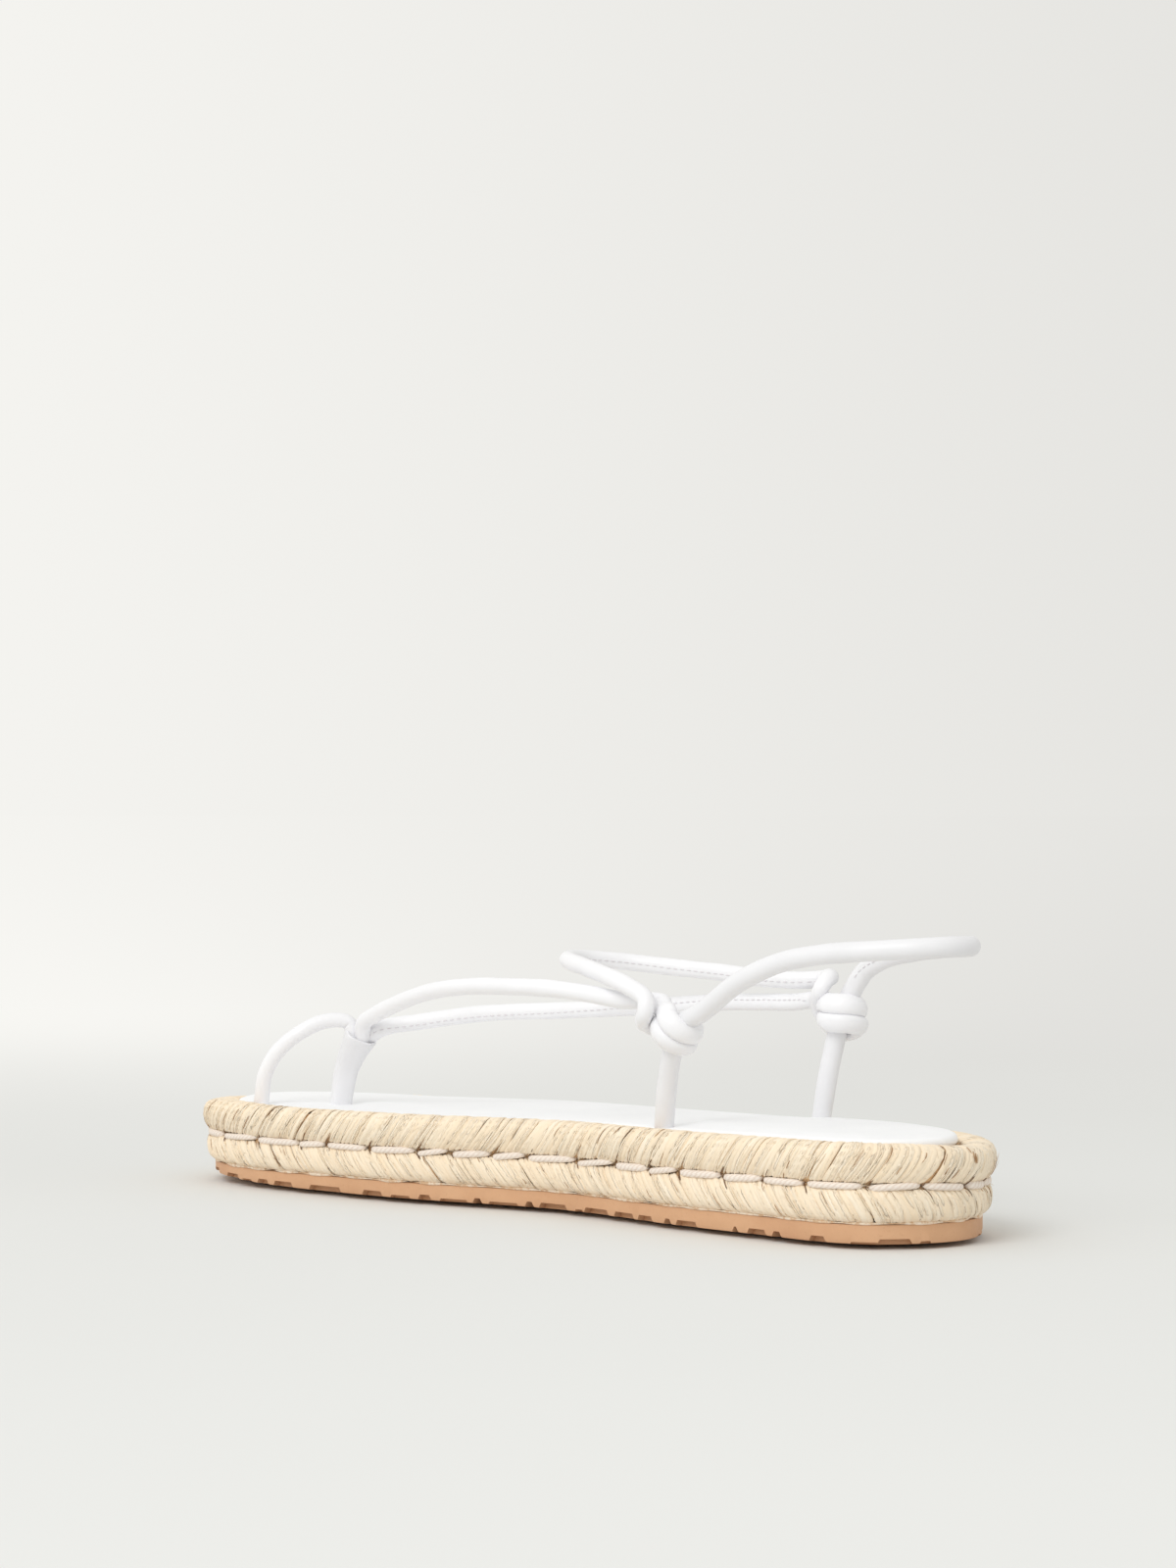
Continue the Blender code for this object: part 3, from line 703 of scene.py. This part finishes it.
def course_side(rows, upward):
    """Smooth side of one rope course: inset, share of the height, and its outward and upward normal."""
    stops = [(-inset, share * ROPE_HEIGHT, 0.0) for inset, share in rows]
    line = smooth_route(stops, *COURSE_STEP)
    ahead = unit(np.gradient(line, axis=0))
    sign = 1.0 if upward else -1.0
    return np.c_[-line[:, 0], line[:, 1] / ROPE_HEIGHT, ahead[:, 1] * sign, -ahead[:, 0] * sign]


# Slant and number of its strands, its widest parting, numbers of its fibres and slivers, its longest slit of
# painted shade
Course = namedtuple("Course", "side slant strands parting fibres bark slit")
upper = Course(course_side(UPPER_COURSE, True), -7.2, 380, 1.3, 1150, 80, 0.24)
lower = Course(course_side(LOWER_COURSE, False), -6.0, 380, 0.9, 1000, 60, 0.3)


def on_course(course, way, share, lift):
    """Points lifted off a course: way along the outline, share of the way from the groove to its far edge."""
    steps = np.linspace(0.0, 1.0, len(course.side))
    inset, height, out, up = between(share, steps, course.side).T
    points = in_rope(way, inset - lift * out, height)
    points[:, 2] += lift * up
    return points


def rope_core_shape():
    """The body of the rope sole under its strands, with the recess for the footbed."""
    insets, shares = np.array([*LOWER_COURSE[-2::-1], *UPPER_COURSE[1:], CORE_END]).T
    shares = np.clip(shares, *CORE_SHARES)
    levels = np.linspace(0.0, 1.0, len(insets))

    def form(u, v):
        inset = np.interp(v, levels, insets + CORE_DEPTH)
        return in_rope(u * EDGE_LENGTH, inset, np.interp(v, levels, shares))

    return grid_shape(CORE_COLUMNS, len(insets) - 1, form)


# Ways along the outline at which one stitch ends and the next begins
stitch_ends = np.cumsum([vary(0.7, 1.3) for _ in range(STITCHES)])
stitch_ends = stitch_ends * EDGE_LENGTH / stitch_ends[-1]


def parted(way, gaps):
    """How far the foot of a strand is drawn aside from the nearest parting."""
    off = np.mod(way - stitch_ends + 0.5 * EDGE_LENGTH, EDGE_LENGTH) - 0.5 * EDGE_LENGTH
    i = int(np.argmin(np.abs(off)))
    return math.copysign(gaps[i] * math.exp(-((off[i] / PARTING_WIDTH) ** 2)), off[i])


def lean(side, share):
    """How much of a strand's slant it has reached, drawn ahead where the course bulges."""
    inset, height = side[:, 0], side[:, 1]
    climbed = np.maximum.accumulate(np.abs(height - height[0]))
    bulge = np.clip(1.0 - inset / inset[0], 0.0, 1.0)
    reached = climbed / climbed[-1] + BULGE_LEAD * bulge
    return np.interp(share, np.linspace(0.0, 1.0, len(side)), reached)


def strand(shape, course, way, slant, size, tone, push=0.0, span=(0.0, 1.0), faces=(8, 10)):
    """A flattened bundle of fibres laid from the groove over one course, its foot pushed aside by push."""
    width, height, lift = size  # half its width, half its height, lift off the course
    seed = vary(0.0, STRAND_PATTERN[0])
    bow = vary(-0.35, 0.35)
    from_heel = min(way % EDGE_LENGTH, EDGE_LENGTH - way % EDGE_LENGTH)
    slant *= 1.0 - HEEL_UPRIGHT * math.exp(-((from_heel / HEEL_ROUND) ** 2))

    def form(u, v):
        share = span[0] + (span[1] - span[0]) * v
        taper = np.sqrt(np.clip(np.minimum(v, 1.0 - v) / STRAND_TAPER, 0.0, 1.0))
        line = way + slant * lean(course.side, share) + bow * np.sin(np.pi * v)
        line += push * np.exp(-((share / PARTING_REACH) ** 2))
        side = line + width * taper * np.cos(TURN * u)
        return on_course(course, side, share, lift + height * taper * np.sin(TURN * u))

    def ruler(u, v):
        return seed + 2.0 * width * u, seed + v * STRAND_PATTERN[1]

    add_grid(shape, *faces, form, ruler, tone)


def course_strands(course):
    """One course of strands all round the sole, parted here and there at the groove."""
    shape = new_shape()
    gaps = [course.parting * rng.random() ** PARTING_FADE for _ in range(STITCHES)]
    pitch = EDGE_LENGTH / course.strands
    for i in range(course.strands):
        way = (i + vary(-0.25, 0.25)) * pitch
        height = vary(0.28, 0.48)
        width = pitch * vary(0.6, 0.9)
        lift = vary(-0.08, 0.1) - height * STRAND_SINK
        slant = course.slant * vary(0.92, 1.08)
        strand(shape, course, way, slant, (width, height, lift), rng.random(), parted(way, gaps))
    return shape


def course_fibres(course):
    """Single fibres lying over the strands of a course."""
    shape = new_shape()
    for _ in range(course.fibres):
        way = vary(0.0, EDGE_LENGTH)
        first = 0.4 * rng.random() ** 1.5
        span = (first, min(first + vary(0.3, 0.7), 0.95))
        width = vary(0.18, 0.58)
        height = vary(0.08, 0.17)
        slant = course.slant * vary(0.85, 1.15)
        size = (width, height, vary(-0.04, 0.06))
        strand(shape, course, way, slant, size, rng.random() ** 2, span=span, faces=(3, 6))
    return shape


def bark_slivers(course):
    """Short brown slivers of bark among the fibres, mostly near the groove."""
    shape = new_shape()
    for _ in range(course.bark):
        first = 0.5 * rng.random() ** 1.6
        span = (first, first + vary(0.1, 0.28))
        size = (vary(0.06, 0.14), 0.09, 0.1)
        slant = course.slant * vary(0.85, 1.15)
        way = vary(0.0, EDGE_LENGTH)
        strand(shape, course, way, slant, size, rng.random(), span=span, faces=(4, 6))
    return shape


def painted_shade_slits(course):
    """Narrow dark slivers at the ends of the stitches, where the needle went in: painted shade of the
    openings there.
    """
    shape = new_shape()
    for end in stitch_ends:
        span = (0.0, course.slit * vary(0.25, 1.0))
        size = (vary(0.1, 0.3), 0.1, 0.06)
        way = end + vary(-0.4, 0.4)
        strand(shape, course, way, course.slant, size, 0.0, span=span, faces=(4, 6))
    return shape


def heel_tuft():
    """A small tuft of bark fibres at the top of the heel."""
    shape = new_shape()
    slant, size = -1.0, (0.16, 0.14, 0.22)
    for _ in range(TUFT_COUNT):
        first = vary(0.33, 0.4)
        span = (first, first + vary(0.06, 0.13))
        way = vary(-0.9, 0.9)
        strand(shape, upper, way, slant, size, rng.random(), span=span, faces=(4, 6))
    return shape


def loose_fibres():
    """Stray fibres that stand off the rope."""
    shape = new_shape()
    for _ in range(LOOSE_COUNT):
        course = upper if rng.random() < LOOSE_UPPER else lower
        way = vary(0.0, EDGE_LENGTH)
        start = rng.choice((vary(0.0, 0.12), vary(0.2, LOOSE_TOP)))
        run = vary(-6.0, 5.0)
        climb = vary(-0.12, 0.28)
        stand = vary(0.3, 1.1)
        thin = vary(0.05, 0.09)
        seed = vary(0.0, SHORT_PATTERN[0])

        def form(u, v):
            taper = np.minimum(v / LOOSE_TAPER[0], (1.0 - v) / LOOSE_TAPER[1])
            taper = thin * np.sqrt(np.clip(taper, 0.0, 1.0))
            share = np.clip(start + climb * v, 0.0, LOOSE_TOP)
            side = way + run * v + taper * np.cos(TURN * u)
            lift = LOOSE_LIFT + stand * v**LOOSE_CURL + taper * np.sin(TURN * u)
            return on_course(course, side, share, lift)

        def ruler(u, v):
            return seed + u, seed + SHORT_PATTERN[1] * v

        add_grid(shape, *LOOSE_FACES, form, ruler, rng.random())
    return shape


def thread_stitches():
    """The thread that sews the courses together, one plump stitch after another."""
    shape = new_shape()
    for start, end in zip(np.r_[0.0, stitch_ends[:-1]], stitch_ends):
        middle = (start + end) / 2.0 + vary(-0.3, 0.3)
        length = (end - start) * vary(0.96, 1.06)
        tilt = vary(-0.01, 0.05)
        thick = vary(0.74, 0.92)
        seed = vary(0.0, SHORT_PATTERN[0])

        def form(u, v):
            ends = np.abs(2.0 * v - 1.0)
            thin = thick * np.sqrt(np.clip(1.0 - ends**THREAD_ENDS, 0.0, 1.0))
            inset = THREAD_INSET + THREAD_DIVE[0] * ends ** THREAD_DIVE[1]
            inset -= THREAD_FLAT * thin * np.cos(TURN * u)
            share = THREAD_LEVEL - tilt * (2.0 * v - 1.0)
            points = in_rope(middle + (v - 0.5) * length, inset, share)
            points[:, 2] += thin * np.sin(TURN * u)
            return points

        def ruler(u, v):
            return seed + SHORT_PATTERN[1] * u, seed + v * length

        add_grid(shape, *THREAD_FACES, form, ruler)
    return shape


rope_body = piece("rope_core", rope_core_shape(), rope_core)
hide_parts("jute_sole")
for kind, shaped, material in (
    ("strands", course_strands, rope_fibre),
    ("fibres", course_fibres, rope_fibre),
    ("bark", bark_slivers, rope_bark),
    ("slits", painted_shade_slits, rope_slit_shade),
):
    piece("rope_upper_" + kind, shaped(upper), material)
    piece("rope_lower_" + kind, shaped(lower), material)
piece("rope_heel_tuft", heel_tuft(), rope_bark)
piece("rope_loose_fibres", loose_fibres(), rope_fibre)
piece("rope_stitches", thread_stitches(), white_thread)


# Rubber sole


def tread_blocks():
    """Every notch of the tread, on both edges, and the grooves across, as one tool."""
    shape = bmesh.new()
    for way, length, depth in TREAD:
        groove = length < GROOVE_LENGTH
        reach_in = GROOVE_REACH if groove else NOTCH_REACH
        for side in (way,) if groove else (way, EDGE_LENGTH - way):
            spot, normal = (row[0] for row in edge_at(np.array([side])))
            along = np.array((-normal[1], normal[0]))
            corners = []
            for out in (NOTCH_MARGIN, -reach_in):
                for end in (-0.5, 0.5):
                    for z, wide in zip((-NOTCH_MARGIN, depth), NOTCH_FLARE):
                        plan = spot + normal * out + along * end * (length + wide)
                        height = z + float(spring(spot[1]))
                        corners.append(shape.verts.new(place((*plan, height))))
            bmesh.ops.convex_hull(shape, input=corners)
    bmesh.ops.recalc_face_normals(shape, faces=shape.faces)
    # The tool carries the rubber of painted shade, and the cut hands it on to the faces of the notches.
    return made_of(recess_painted_shade_rubber, "tread_blocks", shape)


def rubber_shape():
    """The rubber plate with its rounded edges and tread."""
    columns = np.array(RUBBER_SECTION)
    levels = np.linspace(0.0, 1.0, len(columns))

    def form(u, v):
        inset, share, lift = between(v, levels, columns).T
        plan = inside_edge(u * EDGE_LENGTH, RUBBER_INSET + inset)
        low = spring(plan[:, 1])
        return np.c_[plan, low + share * (rubber_top(plan[:, 1]) - low) + lift]

    shape = grid_shape(RUBBER_COLUMNS, len(columns) - 1, form)
    bmesh.ops.recalc_face_normals(shape, faces=shape.faces)
    tool = tread_blocks()
    plate = made_of(tan_rubber, "rubber_plate", shape)
    cut = plate.modifiers.new("tread", "BOOLEAN")
    cut.operation = "DIFFERENCE"
    cut.object = tool
    cut.use_self = True
    cut.material_mode = "TRANSFER"
    bpy.context.view_layer.update()
    seen = plate.evaluated_get(bpy.context.evaluated_depsgraph_get())
    result = bmesh.new()
    result.from_mesh(bpy.data.meshes.new_from_object(seen))
    for spare in (plate, tool):
        bpy.data.objects.remove(spare)
    return result


def cement_shape():
    """An uneven bead of cement where the rope sits on the rubber."""
    waves = [(vary(*PHASE), rng.randint(14, 90), vary(0.03, 0.08)) for _ in range(BEAD_WAVES)]

    def form(u, v):
        thick = BEAD_THICK + sum(size * np.sin(TURN * turns * u + phase) for phase, turns, size in waves)
        plan = inside_edge(u * EDGE_LENGTH, RUBBER_INSET + BEAD_INSET - thick * np.cos(TURN * v))
        return np.c_[plan, rubber_top(plan[:, 1]) + BEAD_LIFT + thick * np.sin(TURN * v)]

    return grid_shape(*BEAD_FACES, form)


rubber = piece("rubber_tread_sole", rubber_shape(), tan_rubber, RUBBER_SHARP)
# Second finish for the faces of the notches: painted shade.
rubber.data.materials.append(recess_painted_shade_rubber)
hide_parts("outsole")
piece("rubber_cement_line", cement_shape(), cement)


# Cord routes


def in_knot(knot, rows):
    """Points given in a knot's own axes."""
    middle, tilt = knot
    c, s = math.cos(tilt), math.sin(tilt)
    axes = np.array(((0.0, -c, -s), (0.0, -s, c), (-1.0, 0.0, 0.0)))
    return tuple(tuple(np.array(middle) + np.array(row) @ axes) for row in rows)


def knot_turns(knot):
    """One and a half turns of the cord down round the core, level on the medial side."""
    rows = []
    for angle in TURN_ANGLES:
        turn = math.radians(angle)
        down = sum(eased(min(max((angle - middle) / TURN_STEP + 0.5, 0.0), 1.0)) for middle in TURN_STEPS)
        up = TURN_PITCH * (TURN_START - down)
        rows.append((TURN_RADIUS * math.sin(turn), up, TURN_RADIUS * math.cos(turn)))
    return in_knot(knot, rows)


def post_entry(x_shift, y_shift):
    """Where a cord ends in the toe post, off the middle of its socket."""
    below, top = np.array(TOE_POST)[-2:, :3]
    down = (below - top) / np.linalg.norm(below - top)
    return tuple(top + down * POST_SOCKET + np.array((x_shift, y_shift, 0.0)))


def sunk(stop, ahead):
    """Where a cord that stands at stop ends inside the footbed."""
    way = np.subtract(stop, ahead) / abs(stop[2] - ahead[2])
    depth = stop[2] - float(footbed_top(stop[1])) + FOOTBED_THICKNESS - LEG_LIFT
    return tuple(np.array(stop) + way * depth)


medial_instep = (post_entry(0.2, -1.2), *MEDIAL_INSTEP, *in_knot(MEDIAL_KNOT, MEDIAL_TUCK))
medial_knot = knot_turns(MEDIAL_KNOT) + in_knot(MEDIAL_KNOT, MEDIAL_BIGHT)
lateral_instep = (post_entry(1.4, 0.0), *LATERAL_INSTEP, *in_knot(LATERAL_KNOT, LATERAL_TUCK))
lateral_knot = knot_turns(LATERAL_KNOT) + in_knot(LATERAL_KNOT, LATERAL_BIGHT)
front_route = medial_instep + medial_knot + FRONT_ANKLE + (lateral_instep + lateral_knot)[::-1]
rear_route = (sunk(*MEDIAL_LEG[:2]), *MEDIAL_LEG, MEDIAL_KNOT[0], *REAR_ANKLE)
rear_route += (LATERAL_KNOT[0], *LATERAL_LEG[::-1], sunk(*LATERAL_LEG[:2]))
loop_route = (sunk(*TOE_LOOP[:2]), *TOE_LOOP, post_entry(-1.2, 0.3))


# Cords


def inward(points):
    """Directions towards the foot, where the seam of a cord lies."""
    x, y, z = points.T
    none = np.zeros_like(x)
    middle = table(FOOT_MIDDLE, y)
    instep = np.c_[middle - x, none, table(SEAM_RISE, y) * np.abs(middle - x)]
    ankle = np.c_[-x, ANKLE_MIDDLE - y, none - ANKLE_DROP]
    way = np.where(((y > INSTEP_FROM) | (z < INSTEP_UNDER))[:, None], instep, ankle)
    for knot in KNOT_MIDDLES:
        to_core = knot - points
        way = np.where((np.linalg.norm(to_core, axis=1) < KNOT_REACH)[:, None], to_core, way)
    way = np.where(((z < LEG_TOP) & (y < LEG_FRONT))[:, None], np.array(CAMERA_WAY), way)
    return way / np.maximum(np.linalg.norm(way, axis=1), 0.001)[:, None]


def smoothed(values, spread=9):
    """Values along a cord, each averaged with its neighbours."""
    weights = np.hanning(2 * spread + 3)[1:-1]
    weights /= weights.sum()
    padded = np.pad(values, ((spread, spread), (0, 0)), mode="edge")
    return np.column_stack([np.convolve(padded[:, axis], weights, "valid") for axis in range(3)])


def cord_frame(points):
    """Way along a cord, its tangents, and the two directions across it, the first towards its seam."""
    way = np.r_[0.0, np.cumsum(np.linalg.norm(np.diff(points, axis=0), axis=1))]
    ahead = unit(np.gradient(points, axis=0))
    seam = square_to(ahead, smoothed(inward(points)))
    return way, ahead, seam, np.cross(ahead, seam)


def cord_shape(points, radius, pressed):
    """A rolled leather cord, with a seam on the side of the foot and creases where it bends."""
    way, ahead, seam, across = cord_frame(points)
    bend = np.gradient(ahead, axis=0) / np.maximum(np.gradient(way), 0.01)[:, None]
    last = len(points) - 1
    phase = vary(*PHASE)
    far = np.full(last + 1, np.inf)
    if pressed:
        far = np.min([np.linalg.norm(points - knot, axis=1) for knot in KNOT_MIDDLES], axis=0)
    thick, wide = (np.interp(far, PRESS_REACH, (press, 1.0)) for press in KNOT_PRESS)

    def form(u, v):
        i = np.rint(v * last).astype(int)
        angle = TURN * u
        out = seam[i] * (thick[i] * np.cos(angle))[:, None] + across[i] * (wide[i] * np.sin(angle))[:, None]
        inside = np.clip(np.sum(out * bend[i], axis=1) * radius, 0.0, CREASE_MOST)
        crease = inside * (0.5 + 0.5 * np.cos(TURN * way[i] / CREASE_PITCH + phase)) * CREASE_DEPTH
        lumps = LUMP_SIZES[0] * np.sin(way[i] / LUMP_PITCHES[0] + phase)
        lumps += LUMP_SIZES[1] * np.sin(way[i] / LUMP_PITCHES[1] + 2.0 * angle)
        groove = SEAM_GROOVE * np.exp(-((np.minimum(u, 1.0 - u) / SEAM_WIDTH) ** 2))
        return points[i] + out * (radius * (1.0 + lumps - groove - crease))[:, None]

    return grid_shape(CORD_SIDES, last, form)


def seam_stitches(points, radius, shape):
    """Small stitches along the seam of a cord, up to its knots."""
    way, ahead, seam, _ = cord_frame(points)
    size = Matrix.Diagonal((*[part * MM for part in SEAM_SIZE], 1.0))
    spots = np.arange(SEAM_END, way[-1] - SEAM_END, SEAM_PITCH)
    for middle, along, out in zip(*[between(spots, way, rows) for rows in (points, ahead, seam)]):
        if np.linalg.norm(KNOT_MIDDLES - middle, axis=1).min() < KNOT_REACH:
            continue
        along, out = Vector(along).normalized(), Vector(out).normalized()
        turn = Matrix((along.cross(out), out, along)).transposed().to_4x4()
        centre = Matrix.Translation(Vector(place(middle + np.array(out) * radius * SEAM_DEPTH)))
        matrix = centre @ turn @ size
        bmesh.ops.create_uvsphere(shape, u_segments=6, v_segments=4, radius=1.0, matrix=matrix)


seam_shape = new_shape()
for name, route, radius, pressed, leather in (
    ("front_cord", front_route, FRONT_CORD, True, cord_leather),
    # The rear cord takes the darker leather of painted shade.
    ("rear_cord", rear_route, REAR_CORD, False, leather_painted_shade),
    ("toe_loop_cord", loop_route, TOE_CORD, False, cord_leather),
):
    points = smooth_route(route, *CORD_STEP)
    cord = piece(name, cord_shape(points, radius, pressed), leather)
    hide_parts("strap_upper")
    seam_stitches(points, radius, seam_shape)
piece("cord_seam_stitches", seam_shape, seam_thread)


# Toe post


def toe_post_shape():
    """A leather sleeve folded round the cords: a flat face, rounded corners and an open mouth."""
    stops = np.array(TOE_POST)
    line = smooth_route(stops[:, :3], *POST_STEP)
    radii = np.interp(line[:, 2], stops[:, 2], stops[:, 3])
    ahead = unit(np.gradient(line, axis=0))
    face = square_to(ahead, np.array(POST_FACE))
    side = np.cross(ahead, face)
    top = len(line) - 1
    # Rows of the sleeve, over its rim and down inside: place along the line, wall
    walls = [(i, 0.0) for i in range(top + 1)]
    walls += [(top, 0.45 * POST_WALL), (top, POST_WALL), (top - 3, POST_WALL * 1.3)]
    walls = np.array(walls)
    last = len(walls) - 1

    def form(u, v):
        i, wall = walls[np.rint(v * last).astype(int)].T
        i = i.astype(int)
        c, s = np.cos(TURN * u), np.sin(TURN * u)
        box = (np.abs(c) ** POST_BOX + np.abs(s) ** POST_BOX) ** (-1.0 / POST_BOX)
        size = (radii[i] - wall) * box
        rim = np.clip((i - len(line) + POST_RIM[0]) / POST_RIM[1], 0.0, 1.0)
        dip = rim * (POST_DIP[0] * np.clip(c, 0.0, 1.0) ** 2 + POST_DIP[1] * s**2)
        lip = POST_LIP * np.sin(np.pi * np.clip(wall / POST_WALL, 0.0, 1.0))
        spot = line[i] + face[i] * (POST_DEEP * size * c)[:, None] + side[i] * (size * s)[:, None]
        return spot + ahead[i] * (dip + lip)[:, None]

    return grid_shape(POST_SIDES, last, form)


# The sleeve takes the darker leather of painted shade.
toe_post = piece("toe_post_sleeve", toe_post_shape(), leather_painted_shade)
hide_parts("toe_post")


# Footbed


def footbed_shape():
    """The leather footbed: a rolled edge and a softly pressed face, closed along the middle of the foot."""
    way = np.linspace(0.0, EDGE_LENGTH, FOOTBED_RING)
    ring = inside_edge(way, np.full(len(way), RECESS_INSET + GAP))
    toe = int(np.argmax(ring[:, 1]))
    heel = int(np.argmin(ring[: toe + 1, 1]))
    rise = 0.5 - 0.5 * np.cos(np.linspace(0.0, np.pi, FOOTBED_HALF + 1))
    y_stops = ring[heel, 1] + (ring[toe, 1] - ring[heel, 1]) * rise
    halves = []
    for half, start in (
        (np.arange(heel, toe + 1), way[heel]),
        (np.arange(len(way) - 1, toe - 1, -1), way[heel] + EDGE_LENGTH),
    ):
        stops = np.interp(y_stops, np.maximum.accumulate(ring[half, 1]), way[half])
        stops[0], stops[-1] = start, way[toe]
        halves.append(stops)
    medial, lateral = halves
    ways = np.r_[medial, lateral[-2::-1]]
    spine_y = np.clip(np.r_[y_stops, y_stops[-2::-1]], *SPINE)
    middles = (edge_at(medial)[0][:, 0] + edge_at(lateral)[0][:, 0]) / 2.0
    spine = np.c_[np.interp(spine_y, y_stops, middles), spine_y]
    columns = len(ways) - 1
    rim = np.array(FOOTBED_EDGE)
    shares = np.r_[np.zeros(len(rim)), FACE_SHARES]
    rows = len(shares) - 1

    def form(u, v):
        i = np.rint(u * columns).astype(int)
        k = np.rint(v * rows).astype(int)
        inset, depth = rim[np.minimum(k, len(rim) - 1)].T
        plan = inside_edge(ways[i], RECESS_INSET + GAP + inset)
        plan = plan + (spine[i] - plan) * shares[k][:, None]
        height = footbed_top(plan[:, 1]) - depth
        soft = np.clip(shares[k] / FACE_SHARES[0], 0.0, 1.0)
        for x, y, wide, long, press in PRESSES:
            far = ((plan[:, 0] - x) / wide) ** 2 + ((plan[:, 1] - y) / long) ** 2
            height -= soft * press * np.exp(-far)
        front = CUSHION_FRONT[1] - ((plan[:, 0] - CUSHION_FRONT[0]) / CUSHION_ROUND) ** 2
        lifted = eased(np.clip((front - plan[:, 1]) / CUSHION_SLOPE, 0.0, 1.0))
        height += soft * CUSHION_HEIGHT * lifted
        for x, y, spread, dent in DENTS:
            far = np.hypot(plan[:, 0] - x, plan[:, 1] - y)
            height -= np.where(depth < FACE_DEPTH, dent * np.exp(-((far / spread) ** 2)), 0.0)
        return np.c_[plan, height]

    return grid_shape(columns, rows, form)


footbed = piece("leather_footbed", footbed_shape(), footbed_leather)
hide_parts("insole")


# Floor, light and camera

floor_shape = bmesh.new()
bmesh.ops.create_circle(floor_shape, cap_ends=True, segments=64, radius=12.0)
floor = made_of(pale_floor("pale_floor", (227, 228, 227)), "floor", floor_shape)

world = bpy.data.worlds.new("studio")
world.use_nodes = True
bpy.context.scene.world = world
studio = world.node_tree
level = studio_level(studio, node(studio, "TexCoord", "Generated", {}))
set_sockets(studio, studio.nodes["Background"], {"Color": shade(*STUDIO_COLOUR), "Strength": level})

panel = bpy.data.lights.new("soft_panel", "AREA")
panel.shape = "DISK"
panel.size = 1.2
panel.energy = 14.5
panel_stand = stood("soft_panel", panel)
panel_stand.location = Vector(PANEL_WAY).normalized() * PANEL_FAR
panel_stand.rotation_euler = Vector(PANEL_WAY).to_track_quat("Z", "Y").to_euler()

camera = bpy.data.cameras.new("camera")
camera.lens = 94.5
camera.sensor_fit = "VERTICAL"
camera.sensor_height = 36.0
camera_stand = stood("camera", camera)
camera_stand.location = CAMERA_PLACE
camera_stand.rotation_euler = Vector(CAMERA_WAY).to_track_quat("-Z", "Y").to_euler()
bpy.context.scene.camera = camera_stand
bpy.context.scene.view_settings.view_transform = "Standard"
